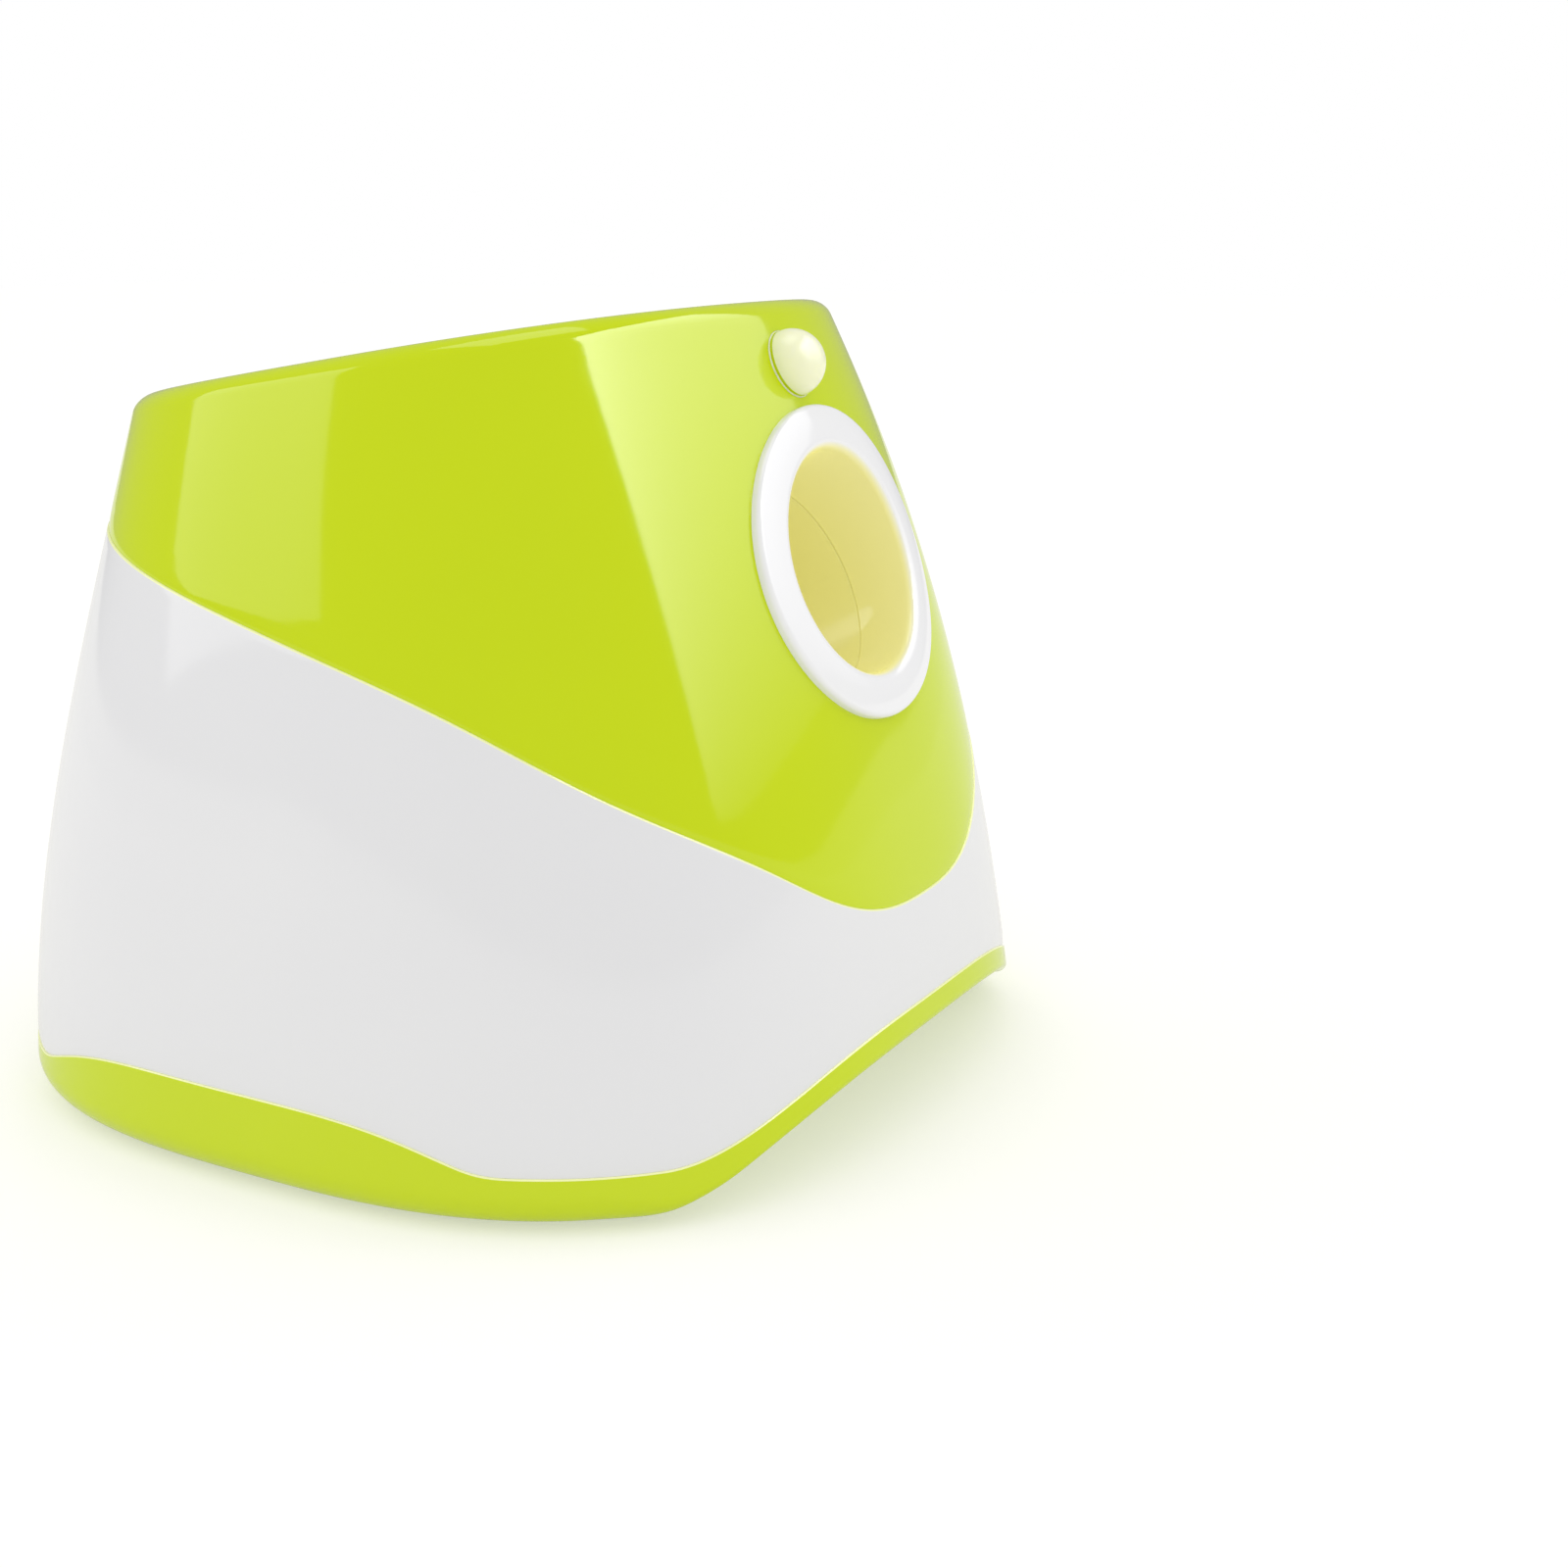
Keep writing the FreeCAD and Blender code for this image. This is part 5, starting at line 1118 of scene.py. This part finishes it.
class AddStage(LauncherOperator):
    """Add the floor, the room, the softboxes and the camera"""
    bl_idname = "launcher.add_stage"
    bl_label = "Stage"

    def build(self, scene):
        stage = scene.launcher_stage
        scene.view_settings.view_transform = "Standard"
        self.add_room(scene, stage.room, stage.mirror)
        self.add_floor()
        self.add_softbox("front softbox", -63.5, 33.5, (1.6, 1.33), stage.key, 0.35, 0.05)
        self.add_softbox("rear softbox", 130.0, 25.0, (0.5, 0.85), stage.strip, 0.8, 0.6,
                         lean=27.0)
        self.add_softbox("overhead softbox", 150.0, 86.0, (0.7, 0.7), stage.top, 1.0, 1.0)
        self.add_softbox("front fill", -50.0, 15.0, (1.6, 1.2), stage.fill, 1.0, 1.0, False)
        self.add_softbox("rear fill", 120.0, 25.0, (1.2, 1.2), stage.fill, 1.0, 1.0, False)
        self.add_camera(scene, stage.lens)

    def add_room(self, scene, strength, mirror):
        """White room that lights evenly from all sides, and is dimmer in glossy reflections."""
        world = bpy.data.worlds.new("white room")
        world.use_nodes = True
        scene.world = world
        tree = world.node_tree
        tree.nodes.clear()
        path = add_node(tree, "ShaderNodeLightPath")
        level = add_node(tree, "ShaderNodeMapRange", {"Value": path.outputs["Is Glossy Ray"],
                                                      "To Min": strength, "To Max": mirror})
        light = add_node(tree, "ShaderNodeBackground", {"Color": (1.0, 1.0, 1.0, 1.0),
                                                        "Strength": level.outputs["Result"]})
        add_node(tree, "ShaderNodeOutputWorld", {"Surface": light.outputs[0]})

    def add_floor(self):
        """Wide pale floor: a white diffuse sheet with a little glow of its own for the camera."""
        size = 6.0
        mesh = bpy.data.meshes.new("floor")
        corners = [(-size, -size, 0.0), (size, -size, 0.0), (size, size, 0.0), (-size, size, 0.0)]
        mesh.from_pydata(corners, [], [(0, 1, 2, 3)])
        floor = bpy.data.objects.new("floor", mesh)
        bpy.context.collection.objects.link(floor)
        material, tree, _ = start_material("matt white vinyl")
        path = add_node(tree, "ShaderNodeLightPath")
        glow = add_node(tree, "ShaderNodeMapRange", {"Value": path.outputs["Is Camera Ray"],
                                                     "To Min": 0.25, "To Max": 0.42})
        paint = add_node(tree, "ShaderNodeBsdfDiffuse", {"Color": linear("#CFCEC8")})
        shine = add_node(tree, "ShaderNodeEmission", {"Strength": glow.outputs["Result"]})
        both = add_node(tree, "ShaderNodeAddShader", {0: paint.outputs[0], 1: shine.outputs[0]})
        add_node(tree, "ShaderNodeOutputMaterial", {"Surface": both.outputs[0]})
        mesh.materials.append(material)

    def add_softbox(self, name, turn, rise, size, radiance, side_fade, low_fade, mirrored=True,
                    lean=0.0):
        """Rectangular lamp round the launcher and facing it, seen in reflections or only diffuse.
        Its cloth glows most at its upper left; the fades are what is left at the other ends."""
        turn, rise = math.radians(turn), math.radians(rise)
        way = Vector((math.cos(turn) * math.cos(rise), math.sin(turn) * math.cos(rise),
                      math.sin(rise)))
        data = bpy.data.lights.new(name, "AREA")
        data.shape = "RECTANGLE"
        data.size, data.size_y = size
        data.energy = math.pi * size[0] * size[1]
        data.use_nodes = True
        tree = data.node_tree
        tree.nodes.clear()
        place = add_node(tree, "ShaderNodeNewGeometry").outputs["Parametric"]
        place = add_node(tree, "ShaderNodeSeparateXYZ", {"Vector": place})
        across = spread(tree, place.outputs["X"], 1.0, side_fade)
        upwards = spread(tree, place.outputs["Y"], low_fade, 1.0)
        glow = add_node(tree, "ShaderNodeMath", {0: across, 1: upwards}, operation="MULTIPLY")
        glow = add_node(tree, "ShaderNodeMath", {0: glow.outputs[0], 1: radiance},
                        operation="MULTIPLY")
        shine = add_node(tree, "ShaderNodeEmission", {"Strength": glow.outputs[0]})
        add_node(tree, "ShaderNodeOutputLight", {"Surface": shine.outputs[0]})
        lamp = bpy.data.objects.new(name, data)
        lamp.location = Vector((0.0, 0.0, LAMP_AIM)) + LAMP_REACH * way
        lean = Quaternion((0.0, 0.0, 1.0), math.radians(lean))
        lamp.rotation_euler = (way.to_track_quat("Z", "Y") @ lean).to_euler()
        lamp.visible_diffuse = not mirrored
        lamp.visible_glossy = mirrored
        bpy.context.collection.objects.link(lamp)

    def add_camera(self, scene, lens):
        """Camera before the mouth's side, a little over the rim, looking down at the launcher."""
        forward = Vector((-math.sin(CAMERA_YAW) * math.cos(CAMERA_PITCH),
                          math.cos(CAMERA_YAW) * math.cos(CAMERA_PITCH), math.sin(CAMERA_PITCH)))
        right = forward.cross(Vector((0.0, 0.0, 1.0))).normalized()
        up = right.cross(forward)
        level = math.cos(CAMERA_ROLL) * right + math.sin(CAMERA_ROLL) * up
        upward = math.cos(CAMERA_ROLL) * up - math.sin(CAMERA_ROLL) * right
        data = bpy.data.cameras.new("camera")
        data.sensor_width = 36.0
        data.lens = lens
        camera = bpy.data.objects.new("camera", data)
        camera.matrix_world = Matrix((level, upward, -forward)).transposed().to_4x4()
        camera.location = CAMERA_PLACE
        bpy.context.collection.objects.link(camera)
        scene.camera = camera


OPERATORS = (PaintNodes, AddTopShell, AddMiddleShell, AddBase, AddFunnel, AddMouthRing,
             AddFittings, AddStage)


class LauncherPanel(bpy.types.Panel):
    """Sidebar panel with the launcher's settings and pieces"""
    bl_idname = "VIEW3D_PT_launcher"
    bl_label = "Ball launcher"
    bl_space_type = "VIEW_3D"
    bl_region_type = "UI"
    bl_category = "Ball Launcher"

    def draw(self, context):
        for group in (context.scene.launcher_shape, context.scene.launcher_tones,
                      context.scene.launcher_stage):
            box = self.layout.box()
            for key in group.__annotations__:
                box.prop(group, key)
        for operator in OPERATORS:
            self.layout.operator(operator.bl_idname)


CLASSES = (LauncherShape, LauncherTones, LauncherStage, *OPERATORS, LauncherPanel)


def register():
    for item in CLASSES:
        bpy.utils.register_class(item)
    bpy.types.Scene.launcher_shape = bpy.props.PointerProperty(type=LauncherShape)
    bpy.types.Scene.launcher_tones = bpy.props.PointerProperty(type=LauncherTones)
    bpy.types.Scene.launcher_stage = bpy.props.PointerProperty(type=LauncherStage)


def unregister():
    del bpy.types.Scene.launcher_stage
    del bpy.types.Scene.launcher_tones
    del bpy.types.Scene.launcher_shape
    for item in reversed(CLASSES):
        bpy.utils.unregister_class(item)


def main():
    register()
    for operator in OPERATORS:
        folder, name = operator.bl_idname.split(".")
        getattr(getattr(bpy.ops, folder), name)()


if __name__ == "__main__":
    main()
